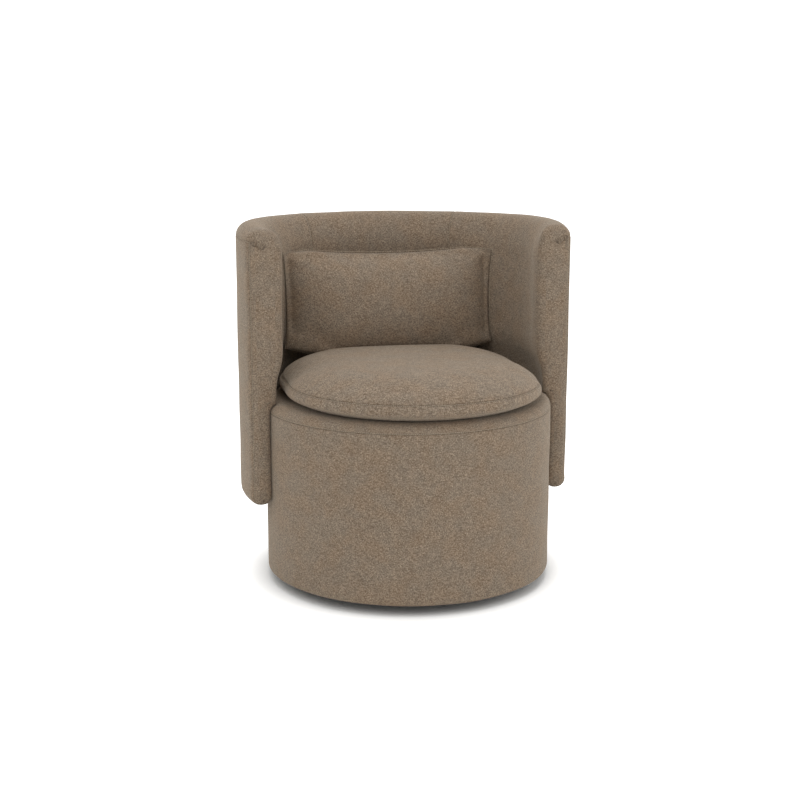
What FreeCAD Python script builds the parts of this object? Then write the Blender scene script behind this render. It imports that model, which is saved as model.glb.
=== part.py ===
import FreeCAD, Part
import math
import os
from FreeCAD import Vector

# Swivel barrel chair, all upholstered in one cloth. A round drum turns on a hidden ball-bearing plate,
# a barrel back wraps round the drum from wing to wing, and a loose seat cushion and a lumbar pillow
# lie in it. Millimetres. The origin is on the floor, on the swivel axis; +Z is up and -Y is the front.

# Clearances
FIT = 0.3
COVER = 2.0
SEAT_GAP = 0.4

# Floor plinth and its glides
GLIDE_RADIUS = 14.0
GLIDE_HEIGHT = 5.0
GLIDE_COUNT = 6
GLIDE_EDGE = 25.0
PLINTH_SETBACK = 65.0
PLINTH_THICKNESS = 18.0
PLINTH_RECESS_RADIUS = 22.0
PLINTH_RECESS_DEPTH = 3.0

# Ball-bearing swivel plate
PLATE_THICKNESS = 3.0
LOWER_PLATE_RADIUS = 150.0
BALL_RADIUS = 4.0
BALL_CIRCLE = 110.0
BALL_COUNT = 24
RACE_DEPTH = 1.0
RACE_CLEARANCE = 0.2
CAGE_WIDTH = 24.0
CAGE_THICKNESS = 2.0
RIVET_RADIUS = 8.0
RIVET_FLANGE_RADIUS = 14.0
RIVET_FLANGE = 2.2
PLATE_SCREW_EDGE = 14.0
PLATE_SCREW_COUNT = 6
PLATE_SCREW_RADIUS = 2.5
PLATE_SCREW_LENGTH = 14.0
PLATE_SCREW_HEAD_RADIUS = 5.0
PLATE_SCREW_HEAD = 2.6
PLATE_BOLT_INSET = 15.0
PLATE_BOLT_RADIUS = 4.0
PLATE_BOLT_HEAD_RADIUS = 7.0
PLATE_BOLT_HEAD = 4.5
NUT_RADIUS = 7.5
NUT_HEIGHT = 6.5

# Drum
DRUM_RADIUS = 305.0
DRUM_BOTTOM = 22.0
DECK_HEIGHT = 392.0
SHOULDER_RADIUS = 20.0
DRUM_PADDING = 12.0
DRUM_SKIN = 3.7
DRUM_PANEL = 18.0
HEM_WIDTH = 16.0
RING_WIDTH = 72.0
RING_THICKNESS = 18.0
DECK_BUILD = 14.0
SIDE_POST_ANGLES = (0.0, 48.0, -48.0, 90.0, -90.0)
FRONT_POST_ANGLES = (142.0, -142.0)
DRUM_POST_DEPTH = 36.0
DRUM_POST_WIDTH = 60.0
DUST_COVER = 0.7

# Deck springs
SPRING_COUNT = 5
SPRING_SPACING = 80.0
SPRING_PITCH = 30.0
SPRING_RUN = 24.0
SPRING_WIRE = 2.0
CLIP_LENGTH = 16.0
CLIP_SHEET = 2.0
SPRING_PAD = 4.0
SPRING_PAD_MARGIN = 8.0

# Barrel back, its radii from the drum's and its heights from the deck's
BACK_AXIS_Y = 43.0
BACK_OUTSET = 51.0
BACK_INNER_INSET = 26.0
BACK_TUCK_INSET = 3.7
BACK_SKIRT = 216.0
BACK_RISE = 368.0
WING_REACH = 93.0
BOTTOM_ROLL = 19.0
TOP_ROLL = 30.0
CREST_ROLL = 28.0
SLOPE_WIDTH = 40.0
SLOPE_DROP = 80.0
TUCK_RISE = 18.0
PAD_RISE = 114.0
WING_EDGE_RADIUS = 14.0
SEAM_ANGLE = 34.8
TOP_SEAM_DROP = 26.0
OUTER_PADDING = 8.0
WING_PADDING = 12.0
PANEL = 4.0
POST_DEPTH = 31.4
POST_WIDTH = 45.0
POST_ANGLES = (0.0, 35.0, -35.0, 70.0, -70.0, 99.0, -99.0)
RAIL = 18.0
RAIL_ABOVE_BOTTOM = 12.0
TOP_PADDING = 40.0
BLOCK_WIDTH = 60.0

# Bolts that join the back to the drum
BACK_BOLT_RADIUS = 4.0
BACK_BOLT_HEAD_RADIUS = 7.0
BACK_BOLT_HEAD = 5.0
BACK_BOLT_RISES = (69.0, 134.0)
WASHER_RADIUS = 12.0
WASHER = 2.0
TEE_NUT_RADIUS = 5.0
TEE_NUT_LENGTH = 12.0
TEE_FLANGE_RADIUS = 11.0
TEE_FLANGE = 1.5

# Seat cushion
CUSHION_CLEARANCE = 2.0
CUSHION_REACH = 92.0
CUSHION_GIRTH_RISE = 35.0
CUSHION_RISE = 48.0
CUSHION_DOME_POWER = 4
CUSHION_DOME_STATIONS = (0.54, 0.81, 0.95)
CUSHION_EDGE_DROP = 4.0
CUSHION_SIDE_HEIGHT = 24.0
CUSHION_SIDE_INSET = 9.0
CUSHION_BASE_INSET = 29.0
CUSHION_WRAP = 12.0
ZIP_RISE = 12.0
ZIP_WIDTH = 10.0
ZIP_HALF_ANGLE = 50.0
SLIDER_HALF_ANGLE = 1.1
SLIDER_GAP = 0.6
SLIDER_THICKNESS = 3.0
SLIDER_PULL = 14.0

# Lumbar pillow
PILLOW_WIDTH = 445.0
PILLOW_HEIGHT = 212.0
PILLOW_THICKNESS = 125.0
PILLOW_LEAN = 9.0
PILLOW_TOP_SAG = 13.0
PILLOW_CORNER_LIFT = 26.0
PILLOW_EDGE_THICKNESS = 8.0
PILLOW_SWELL_POWER = 3
PILLOW_CORNER_POWER = 6
PILLOW_STATIONS = (0.0, 0.45, 0.78, 0.94, 1.0)

# Sizes and heights that follow from those above
PLINTH_RADIUS = DRUM_RADIUS - PLINTH_SETBACK
GLIDE_CIRCLE = PLINTH_RADIUS - GLIDE_EDGE
UPPER_PLATE_SIDE = 2 * LOWER_PLATE_RADIUS
PLATE_SCREW_CIRCLE = LOWER_PLATE_RADIUS - PLATE_SCREW_EDGE
BACK_RADIUS = DRUM_RADIUS + BACK_OUTSET
BACK_INNER_RADIUS = DRUM_RADIUS - BACK_INNER_INSET
BACK_TUCK_RADIUS = DRUM_RADIUS - BACK_TUCK_INSET
BACK_BOTTOM = DECK_HEIGHT - BACK_SKIRT
BACK_TOP = DECK_HEIGHT + BACK_RISE
BACK_FRONT_Y = BACK_AXIS_Y - WING_REACH
CREST_CENTRE = (BACK_INNER_RADIUS + SLOPE_WIDTH, BACK_TOP - CREST_ROLL)
SLOPE_ROLL = ((SLOPE_WIDTH ** 2 + SLOPE_DROP ** 2 - 2 * SLOPE_DROP * CREST_ROLL)
              / (2 * (SLOPE_WIDTH - CREST_ROLL)))
SLOPE_LEAN = math.atan2(CREST_CENTRE[1] - (BACK_TOP - SLOPE_DROP), SLOPE_WIDTH - SLOPE_ROLL)
BACK_BOLT_HEIGHTS = tuple(BACK_BOTTOM + rise for rise in BACK_BOLT_RISES)
TUCK_TOP = DECK_HEIGHT + TUCK_RISE
PAD_FULL = DECK_HEIGHT + PAD_RISE
CUSHION_RADIUS = BACK_INNER_RADIUS - CUSHION_CLEARANCE
CUSHION_FRONT_Y = BACK_AXIS_Y - CUSHION_REACH
CUSHION_GIRTH = DECK_HEIGHT + CUSHION_GIRTH_RISE
ZIP_BOTTOM = DECK_HEIGHT + ZIP_RISE
PLINTH_TOP = GLIDE_HEIGHT + PLINTH_THICKNESS
LOWER_PLATE_TOP = PLINTH_TOP + PLATE_THICKNESS
BALL_HEIGHT = LOWER_PLATE_TOP + BALL_RADIUS - RACE_DEPTH
UPPER_PLATE_BOTTOM = BALL_HEIGHT + BALL_RADIUS - RACE_DEPTH
UPPER_PLATE_TOP = UPPER_PLATE_BOTTOM + PLATE_THICKNESS
DRUM_PANEL_TOP = UPPER_PLATE_TOP + DRUM_PANEL
DRUM_SEAM = DECK_HEIGHT - SHOULDER_RADIUS
FOAM_INSET = COVER + FIT
PADDING_INNER = DRUM_RADIUS - FOAM_INSET - DRUM_PADDING + FIT
SKIN_INNER = PADDING_INNER - FIT - DRUM_SKIN
DRUM_FRAME_RADIUS = SKIN_INNER - FIT
RING_TOP = DRUM_SEAM - DECK_BUILD
RING_BOTTOM = RING_TOP - RING_THICKNESS
RING_INNER = DRUM_FRAME_RADIUS - RING_WIDTH
SPRING_HEIGHT = RING_TOP + SPRING_WIRE + FIT
CLIP_TOP = SPRING_HEIGHT + SPRING_WIRE + FIT + CLIP_SHEET
PAD_TOP = CLIP_TOP + FIT + SPRING_PAD
DECK_FOAM_BOTTOM = PAD_TOP + FIT
OUTER_FRAME_RADIUS = BACK_RADIUS - FOAM_INSET - OUTER_PADDING
POST_OUTER_RADIUS = OUTER_FRAME_RADIUS - PANEL - FIT
POST_INNER_RADIUS = POST_OUTER_RADIUS - POST_DEPTH
INNER_FRAME_RADIUS = POST_INNER_RADIUS - FIT - PANEL
FRAME_FRONT_Y = BACK_FRONT_Y + FOAM_INSET + WING_PADDING
RAIL_BOTTOM = BACK_BOTTOM + RAIL_ABOVE_BOTTOM
LEDGE_RAIL_TOP = DRUM_SEAM - COVER
LEDGE_RAIL_BOTTOM = LEDGE_RAIL_TOP - RAIL
TOP_RAIL_TOP = BACK_TOP - FOAM_INSET - TOP_PADDING
TOP_RAIL_BOTTOM = TOP_RAIL_TOP - RAIL
BACK_TO_DRUM = DRUM_RADIUS + SEAT_GAP
BACK_WELL_RADIUS = DRUM_RADIUS - BACK_AXIS_Y - SHOULDER_RADIUS
CUSHION_BOTTOM = DECK_HEIGHT + SEAT_GAP
CUSHION_CROWN = CUSHION_GIRTH + CUSHION_RISE
PILLOW_TOP_Y = BACK_AXIS_Y + math.sqrt(BACK_INNER_RADIUS ** 2 - (PILLOW_WIDTH / 2) ** 2) - SEAT_GAP
PILLOW_FOOT_Y = PILLOW_TOP_Y - PILLOW_HEIGHT * math.sin(math.radians(PILLOW_LEAN))
CROWN_REACH = CUSHION_RADIUS * CUSHION_DOME_STATIONS[0]
CROWN_DROP = CUSHION_RISE * CUSHION_DOME_STATIONS[0] ** CUSHION_DOME_POWER
PILLOW_FOOT_DROP = CROWN_DROP * ((PILLOW_FOOT_Y - BACK_AXIS_Y) / CROWN_REACH) ** 2
PILLOW_BOTTOM = CUSHION_CROWN - PILLOW_FOOT_DROP + SEAT_GAP

UP = Vector(0, 0, 1)
FAR = 1000.0


def cylinder(radius, bottom, top, x=0.0, y=0.0):
    """Upright cylinder between two heights."""
    return Part.makeCylinder(radius, top - bottom, Vector(x, y, bottom))


def ring(outer, inner, bottom, top, y=0.0):
    """Upright ring wall between two radii round the axis at (0, y)."""
    return cylinder(outer, bottom, top, 0.0, y).cut(cylinder(inner, bottom, top, 0.0, y))


def block(x0, x1, y0, y1, z0, z1):
    """Box between two corners."""
    return Part.makeBox(x1 - x0, y1 - y0, z1 - z0, Vector(x0, y0, z0))


def polar(radius, angle, y=0.0):
    """Point in plan at an angle in degrees from straight back, round the axis at (0, y)."""
    turn = math.radians(angle)
    return radius * math.sin(turn), y + radius * math.cos(turn)


def turned(shape, angle, y=0.0):
    """Copy of a shape that was drawn straight back, turned by an angle round the axis at (0, y)."""
    copy = shape.copy()
    copy.rotate(Vector(0, y, 0), UP, -angle)
    return copy


def line(a, b):
    """Straight outline edge between two (radius, height) points."""
    return Part.LineSegment(Vector(a[0], 0, a[1]), Vector(b[0], 0, b[1])).toShape()


def tangent_arcs(start, heading, ends):
    """Outline arcs through (radius, height) points, each tangent to the last; heading in degrees."""
    edges = []
    for end in ends:
        chord = math.atan2(end[1] - start[1], end[0] - start[0])
        length = math.hypot(end[0] - start[0], end[1] - start[1])
        swing = math.radians(heading) - chord
        rise = length / 2 * math.tan(swing / 2)
        middle = Vector((start[0] + end[0]) / 2 - rise * math.sin(chord), 0,
                        (start[1] + end[1]) / 2 + rise * math.cos(chord))
        edges.append(Part.Arc(Vector(start[0], 0, start[1]), middle, Vector(end[0], 0, end[1])).toShape())
        heading = math.degrees(2 * chord) - heading
        start = end
    return edges


def revolved(edges, y=0.0, start=0.0, sweep=360.0):
    """Solid of revolution of a closed (radius, height) outline round the axis at (0, y)."""
    solid = Part.Face(Part.Wire(edges)).revolve(Vector(0, 0, 0), UP, sweep)
    solid.rotate(Vector(0, 0, 0), UP, start)
    solid.translate(Vector(0, y, 0))
    return solid


def wedge(half_angle, bottom, top, y=0.0, middle=0.0):
    """Pie slice of space, half_angle each side of an angle from straight back, round (0, y)."""
    edges = [line((0, bottom), (FAR, bottom)), line((FAR, bottom), (FAR, top)),
             line((FAR, top), (0, top)), line((0, top), (0, bottom))]
    return revolved(edges, y, 90.0 - middle - half_angle, 2 * half_angle)


def drum_form(inset):
    """Outer form of the drum, drawn in by inset: straight side, round shoulder and flat deck."""
    bottom = DRUM_BOTTOM + inset
    side = DRUM_RADIUS - inset
    deck = DECK_HEIGHT - inset
    flat = DRUM_RADIUS - SHOULDER_RADIUS
    edges = [line((0, bottom), (side, bottom)), line((side, bottom), (side, DRUM_SEAM))]
    edges += tangent_arcs((side, DRUM_SEAM), 90.0, [(flat, deck)])
    edges += [line((flat, deck), (0, deck)), line((0, deck), (0, bottom))]
    return revolved(edges)


def drum_hollow(inset):
    """Space that the drum takes out of the back, with a rolled edge where they part at the bottom."""
    side = DRUM_RADIUS + SEAT_GAP + inset
    spread = DRUM_RADIUS + SEAT_GAP + BOTTOM_ROLL
    low = BACK_BOTTOM + inset
    roll = BACK_BOTTOM + BOTTOM_ROLL
    deck = DECK_HEIGHT + SEAT_GAP + inset
    flat = DRUM_RADIUS - SHOULDER_RADIUS
    edges = [line((0, DRUM_BOTTOM), (spread, DRUM_BOTTOM)), line((spread, DRUM_BOTTOM), (spread, low))]
    edges += tangent_arcs((spread, low), 180.0, [(side, roll)])
    edges += [line((side, roll), (side, DRUM_SEAM))]
    edges += tangent_arcs((side, DRUM_SEAM), 90.0, [(flat, deck)])
    edges += [line((flat, deck), (0, deck)), line((0, deck), (0, DRUM_BOTTOM))]
    return revolved(edges)


def back_outline(inset):
    """Closed outline of the back's section, drawn in by inset: rolled top and bottom, sloped in at the top."""
    outer = BACK_RADIUS - inset
    inner = BACK_INNER_RADIUS + inset
    tuck = BACK_TUCK_RADIUS + inset
    bottom = BACK_BOTTOM + inset
    top = BACK_TOP - inset
    low = BACK_BOTTOM + BOTTOM_ROLL
    high = BACK_TOP - TOP_ROLL
    middle = ((tuck + inner) / 2, (TUCK_TOP + PAD_FULL) / 2)
    joint = (CREST_CENTRE[0] + (CREST_ROLL - inset) * math.cos(SLOPE_LEAN),
             CREST_CENTRE[1] + (CREST_ROLL - inset) * math.sin(SLOPE_LEAN))
    slope_foot = (inner, BACK_TOP - SLOPE_DROP)
    edges = [line((BACK_TUCK_RADIUS + BOTTOM_ROLL, bottom), (BACK_RADIUS - BOTTOM_ROLL, bottom))]
    edges += tangent_arcs((BACK_RADIUS - BOTTOM_ROLL, bottom), 0.0, [(outer, low)])
    edges += [line((outer, low), (outer, high))]
    edges += tangent_arcs((outer, high), 90.0, [(BACK_RADIUS - TOP_ROLL, top)])
    edges += [line((BACK_RADIUS - TOP_ROLL, top), (CREST_CENTRE[0], top))]
    edges += tangent_arcs((CREST_CENTRE[0], top), 180.0, [joint, slope_foot])
    edges += [line(slope_foot, (inner, PAD_FULL))]
    edges += tangent_arcs((inner, PAD_FULL), -90.0, [middle, (tuck, TUCK_TOP)])
    edges += [line((tuck, TUCK_TOP), (tuck, low))]
    edges += tangent_arcs((tuck, low), -90.0, [(BACK_TUCK_RADIUS + BOTTOM_ROLL, bottom)])
    return edges


def back_form(inset):
    """Outer form of the barrel back, drawn in by inset: wings cut square, with their edges rounded."""
    front = BACK_FRONT_Y + inset
    barrel = revolved(back_outline(inset), BACK_AXIS_Y)
    barrel = barrel.cut(block(-FAR, FAR, -FAR, front, 0, FAR))
    ends = [edge for edge in barrel.Edges if edge.BoundBox.YMax < front + 0.01]
    barrel = barrel.makeFillet(WING_EDGE_RADIUS - inset, ends)
    foot = ring(BACK_TUCK_RADIUS + BOTTOM_ROLL, BACK_WELL_RADIUS, BACK_BOTTOM + inset,
                DRUM_SEAM - inset, BACK_AXIS_Y)
    foot = foot.cut(block(-FAR, FAR, -FAR, BACK_AXIS_Y, 0, FAR))
    return barrel.fuse(foot).cut(drum_hollow(inset)).removeSplitter()


def frame_ring(outer, inner, bottom, top):
    """Ring wall round the back's axis, open at the front past the frame's ends."""
    wall = ring(outer, inner, bottom, top, BACK_AXIS_Y)
    return wall.cut(block(-FAR, FAR, -FAR, FRAME_FRONT_Y, 0, FAR))


def spread_round(shape, count):
    """Compound of copies of a shape, evenly spaced round the swivel axis."""
    return Part.makeCompound([turned(shape, 360.0 * step / count) for step in range(count)])


def drilled(shape, holes):
    """Shape with a list of holes cut through it."""
    return shape.cut(holes)


# Base

def floor_glides():
    """Plastic glides under the plinth: one in the middle and the others near its edge."""
    x, y = polar(GLIDE_CIRCLE, 0.0)
    edge = spread_round(cylinder(GLIDE_RADIUS, 0, GLIDE_HEIGHT, x, y), GLIDE_COUNT)
    return Part.makeCompound(edge.Solids + [cylinder(GLIDE_RADIUS, 0, GLIDE_HEIGHT)])


def plate_screw(clearance):
    """Wood screw that holds the lower plate to the plinth, or its hole where a clearance is given."""
    x, y = polar(PLATE_SCREW_CIRCLE, 0.0)
    radius = PLATE_SCREW_RADIUS + clearance
    tip = LOWER_PLATE_TOP - PLATE_SCREW_LENGTH - clearance
    shank = cylinder(radius, tip, LOWER_PLATE_TOP, x, y)
    if clearance:
        return shank
    head_top = LOWER_PLATE_TOP + PLATE_SCREW_HEAD
    return shank.fuse(cylinder(PLATE_SCREW_HEAD_RADIUS, LOWER_PLATE_TOP, head_top, x, y))


def plinth():
    """Black-painted plywood disc that stands on the glides."""
    disc = cylinder(PLINTH_RADIUS, GLIDE_HEIGHT, PLINTH_TOP)
    disc = disc.cut(cylinder(PLINTH_RECESS_RADIUS, PLINTH_TOP - PLINTH_RECESS_DEPTH, PLINTH_TOP))
    return drilled(disc, [turned(plate_screw(FIT / 2), 360.0 * step / PLATE_SCREW_COUNT)
                          for step in range(PLATE_SCREW_COUNT)])


def ball_race():
    """Torus that cuts the balls' groove in both plates."""
    return Part.makeTorus(BALL_CIRCLE, BALL_RADIUS + RACE_CLEARANCE, Vector(0, 0, BALL_HEIGHT))


def swivel_lower_plate():
    """Fixed round steel plate of the swivel."""
    plate = cylinder(LOWER_PLATE_RADIUS, PLINTH_TOP, LOWER_PLATE_TOP)
    plate = plate.cut(cylinder(RIVET_RADIUS, PLINTH_TOP, LOWER_PLATE_TOP)).cut(ball_race())
    return drilled(plate, [turned(plate_screw(FIT / 2), 360.0 * step / PLATE_SCREW_COUNT)
                           for step in range(PLATE_SCREW_COUNT)])


def swivel_rivet():
    """Hollow rivet that holds the two plates together and is the swivel's axle."""
    top = UPPER_PLATE_TOP + FIT + RIVET_FLANGE
    rivet = cylinder(RIVET_RADIUS, PLINTH_TOP, top)
    rivet = rivet.fuse(cylinder(RIVET_FLANGE_RADIUS, PLINTH_TOP - RIVET_FLANGE, PLINTH_TOP))
    rivet = rivet.fuse(cylinder(RIVET_FLANGE_RADIUS, UPPER_PLATE_TOP + FIT, top))
    return rivet.cut(cylinder(RIVET_RADIUS / 2, PLINTH_TOP - RIVET_FLANGE, top)).removeSplitter()


def bearing_balls():
    """Steel balls between the plates."""
    x, y = polar(BALL_CIRCLE, 0.0)
    return spread_round(Part.makeSphere(BALL_RADIUS, Vector(x, y, BALL_HEIGHT)), BALL_COUNT)


def ball_cage():
    """Flat ring that keeps the balls apart."""
    bottom = BALL_HEIGHT - CAGE_THICKNESS / 2
    cage = ring(BALL_CIRCLE + CAGE_WIDTH / 2, BALL_CIRCLE - CAGE_WIDTH / 2, bottom, bottom + CAGE_THICKNESS)
    x, y = polar(BALL_CIRCLE, 0.0)
    hole = cylinder(BALL_RADIUS + RACE_CLEARANCE, bottom, bottom + CAGE_THICKNESS, x, y)
    return drilled(cage, [turned(hole, 360.0 * step / BALL_COUNT) for step in range(BALL_COUNT)])


# Drum

def plate_corners():
    """Places in plan of the four bolts of the upper plate."""
    reach = UPPER_PLATE_SIDE / 2 - PLATE_BOLT_INSET
    return [(sx * reach, sy * reach) for sx in (-1, 1) for sy in (-1, 1)]


def plate_bolt_holes(bottom, top):
    """Clearance holes for the upper plate's bolts between two heights."""
    return [cylinder(PLATE_BOLT_RADIUS + FIT / 2, bottom, top, x, y) for x, y in plate_corners()]


def swivel_upper_plate():
    """Square steel plate of the swivel, which turns with the drum."""
    half = UPPER_PLATE_SIDE / 2
    plate = block(-half, half, -half, half, UPPER_PLATE_BOTTOM, UPPER_PLATE_TOP)
    plate = plate.cut(cylinder(RIVET_RADIUS + FIT, UPPER_PLATE_BOTTOM, UPPER_PLATE_TOP)).cut(ball_race())
    return drilled(plate, plate_bolt_holes(UPPER_PLATE_BOTTOM, UPPER_PLATE_TOP))


def upper_plate_bolts():
    """Bolts up through the plate and the drum's bottom panel."""
    bolts = []
    for x, y in plate_corners():
        shank = cylinder(PLATE_BOLT_RADIUS, UPPER_PLATE_BOTTOM, DRUM_PANEL_TOP + NUT_HEIGHT + FIT, x, y)
        head_bottom = UPPER_PLATE_BOTTOM - PLATE_BOLT_HEAD
        head = cylinder(PLATE_BOLT_HEAD_RADIUS, head_bottom, UPPER_PLATE_BOTTOM, x, y)
        bolts.append(shank.fuse(head).removeSplitter())
    return Part.makeCompound(bolts)


def hexagon(radius, bottom, top, x, y):
    """Upright hexagonal prism with its corners at a radius."""
    corners = [Vector(x + radius * math.cos(math.radians(60 * k)),
                      y + radius * math.sin(math.radians(60 * k)), bottom) for k in range(7)]
    return Part.Face(Part.makePolygon(corners)).extrude(Vector(0, 0, top - bottom))


def upper_plate_nuts():
    """Hexagon nuts on the plate bolts, inside the drum."""
    top = DRUM_PANEL_TOP + NUT_HEIGHT
    nuts = [hexagon(NUT_RADIUS, DRUM_PANEL_TOP, top, x, y) for x, y in plate_corners()]
    holes = plate_bolt_holes(DRUM_PANEL_TOP, top)
    return Part.makeCompound([nut.cut(hole) for nut, hole in zip(nuts, holes)])


def drum_bottom_panel():
    """Plywood floor of the drum."""
    panel = cylinder(DRUM_FRAME_RADIUS, UPPER_PLATE_TOP, DRUM_PANEL_TOP)
    panel = panel.cut(cylinder(PLINTH_RECESS_RADIUS, UPPER_PLATE_TOP, DRUM_PANEL_TOP))
    return drilled(panel, plate_bolt_holes(UPPER_PLATE_TOP, DRUM_PANEL_TOP))


def dust_cover():
    """Black cloth under the drum, cut out round the swivel plate."""
    half = UPPER_PLATE_SIDE / 2 + 2 * FIT
    sheet = cylinder(DRUM_FRAME_RADIUS, UPPER_PLATE_TOP - DUST_COVER, UPPER_PLATE_TOP)
    return sheet.cut(block(-half, half, -half, half, 0, FAR))


def drum_posts():
    """Timber posts between the drum's floor and its top ring."""
    outer = cylinder(DRUM_FRAME_RADIUS, DRUM_PANEL_TOP, RING_BOTTOM)
    half = DRUM_POST_WIDTH / 2
    post = block(-half, half, DRUM_FRAME_RADIUS - DRUM_POST_DEPTH, FAR, DRUM_PANEL_TOP, RING_BOTTOM)
    post = post.common(outer)
    posts = [turned(post, angle) for angle in SIDE_POST_ANGLES + FRONT_POST_ANGLES]
    return drilled(Part.makeCompound(posts), back_bolt_holes())


def drum_top_ring():
    """Plywood ring that carries the deck springs."""
    return ring(DRUM_FRAME_RADIUS, RING_INNER, RING_BOTTOM, RING_TOP)


def drum_skin():
    """Bent board round the drum's frame."""
    wall = ring(SKIN_INNER + DRUM_SKIN, SKIN_INNER, DRUM_BOTTOM + FOAM_INSET, RING_TOP)
    return drilled(wall, back_bolt_holes())


def drum_padding():
    """Foam round the drum's side."""
    wall = ring(DRUM_RADIUS - FOAM_INSET, PADDING_INNER, DRUM_BOTTOM + FOAM_INSET, PAD_TOP)
    return drilled(wall, back_bolt_holes())


def drum_cover():
    """Cloth round the drum's side, turned in under its bottom edge."""
    skin = drum_form(0).cut(drum_form(COVER))
    skin = skin.cut(cylinder(DRUM_RADIUS - HEM_WIDTH, 0, DRUM_BOTTOM + 2 * COVER))
    skin = skin.common(cylinder(FAR, 0, DRUM_SEAM))
    return drilled(skin, back_bolt_holes())


def deck_cover():
    """Cloth over the deck and the drum's round shoulder."""
    return drum_form(0).cut(drum_form(COVER)).common(cylinder(FAR, DRUM_SEAM, FAR))


def spring_path(x):
    """Zigzag centre line of one deck spring and the y of its two end runs."""
    reach = math.sqrt((DRUM_FRAME_RADIUS - RING_WIDTH / 2) ** 2 - x ** 2)
    turns = round(2 * reach / SPRING_PITCH)
    pitch = 2 * reach / turns
    half = SPRING_RUN / 2
    edges = []
    for turn in range(turns + 1):
        side = 1 if turn % 2 == 0 else -1
        y = -reach + turn * pitch
        a = Vector(x - side * half, y, SPRING_HEIGHT)
        b = Vector(x + side * half, y, SPRING_HEIGHT)
        edges.append(Part.LineSegment(a, b).toShape())
        if turn < turns:
            middle = Vector(b.x + side * pitch / 2, y + pitch / 2, SPRING_HEIGHT)
            edges.append(Part.Arc(b, middle, Vector(b.x, y + pitch, SPRING_HEIGHT)).toShape())
    return Part.Wire(edges), reach


def spring_rows():
    """Places along X of the deck springs."""
    return [(row - (SPRING_COUNT - 1) / 2) * SPRING_SPACING for row in range(SPRING_COUNT)]


def deck_springs():
    """Zigzag wire springs across the top ring."""
    springs = []
    for x in spring_rows():
        path, reach = spring_path(x)
        start = Vector(x - SPRING_RUN / 2, -reach, SPRING_HEIGHT)
        section = Part.Wire(Part.makeCircle(SPRING_WIRE, start, Vector(1, 0, 0)))
        springs.append(path.makePipeShell([section], True, False))
    return Part.makeCompound(springs)


def spring_clips():
    """Folded steel clips that hold the springs' ends on the top ring."""
    clips = []
    slot = SPRING_WIRE + FIT
    for x in spring_rows():
        for end in (-1, 1):
            y = end * spring_path(x)[1]
            half = CLIP_LENGTH / 2
            deep = slot + CLIP_SHEET
            clip = block(x - half, x + half, y - deep, y + deep, RING_TOP, CLIP_TOP)
            room = block(x - FAR, x + FAR, y - slot, y + slot, RING_TOP, CLIP_TOP - CLIP_SHEET)
            clips.append(clip.cut(room))
    return Part.makeCompound(clips)


def spring_pad():
    """Felt pad over the springs."""
    return cylinder(DRUM_FRAME_RADIUS - SPRING_PAD_MARGIN, CLIP_TOP + FIT, PAD_TOP)


def deck_foam():
    """Foam of the deck, rounded at the drum's shoulder."""
    return drum_form(FOAM_INSET).common(cylinder(FAR, DECK_FOAM_BOTTOM, FAR))


# Barrel back: frame

def back_bolt(radius, start, end, height):
    """Cylinder that points straight back from the swivel axis at a height."""
    return Part.makeCylinder(radius, end - start, Vector(0, start, height), Vector(0, 1, 0))


def back_bolt_places():
    """Angle and height of each bolt between the drum and the back."""
    return [(angle, height) for angle in SIDE_POST_ANGLES for height in BACK_BOLT_HEIGHTS]


def block_outer_reach(angle):
    """Distance from the swivel axis to the outer face of the mounting block at an angle."""
    turn = math.radians(angle)
    along = BACK_AXIS_Y * math.cos(turn)
    return along + math.sqrt(POST_OUTER_RADIUS ** 2 - (BACK_AXIS_Y * math.sin(turn)) ** 2)


def tee_nut_base(angle):
    """Distance from the swivel axis to the flange of the tee nut at an angle."""
    slope = BACK_AXIS_Y * abs(math.sin(math.radians(angle))) / POST_OUTER_RADIUS
    return block_outer_reach(angle) - TEE_FLANGE - FIT - TEE_FLANGE_RADIUS * slope


def back_bolt_holes():
    """Clearance holes for every bolt between the drum and the back."""
    return [turned(back_bolt(BACK_BOLT_RADIUS + FIT, 0, FAR / 2, height), angle)
            for angle, height in back_bolt_places()]


def tee_nut_sockets():
    """Counterbores for the tee nuts in the outer faces of the mounting blocks."""
    sockets = []
    for angle, height in back_bolt_places():
        base = tee_nut_base(angle)
        barrel = back_bolt(TEE_NUT_RADIUS + FIT, base - TEE_NUT_LENGTH - FIT, FAR / 2, height)
        flange = back_bolt(TEE_FLANGE_RADIUS + FIT, base, FAR / 2, height)
        sockets.append(turned(barrel.fuse(flange), angle))
    return sockets


def clear_of_drum(shape):
    """Shape cut back from the drum and from the back's own lining."""
    return shape.cut(drum_hollow(FOAM_INSET))


def back_bottom_rail():
    """Plywood rail that follows the drum at the bottom of the back."""
    return clear_of_drum(frame_ring(POST_OUTER_RADIUS, BACK_WELL_RADIUS, RAIL_BOTTOM, RAIL_BOTTOM + RAIL))


def back_ledge_rail():
    """Plywood rail under the ledge that closes the gap behind the deck."""
    return clear_of_drum(frame_ring(POST_OUTER_RADIUS, BACK_WELL_RADIUS, LEDGE_RAIL_BOTTOM, LEDGE_RAIL_TOP))


def back_top_rail():
    """Plywood rail along the top of the back."""
    return frame_ring(POST_OUTER_RADIUS, POST_INNER_RADIUS, TOP_RAIL_BOTTOM, TOP_RAIL_TOP)


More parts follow.
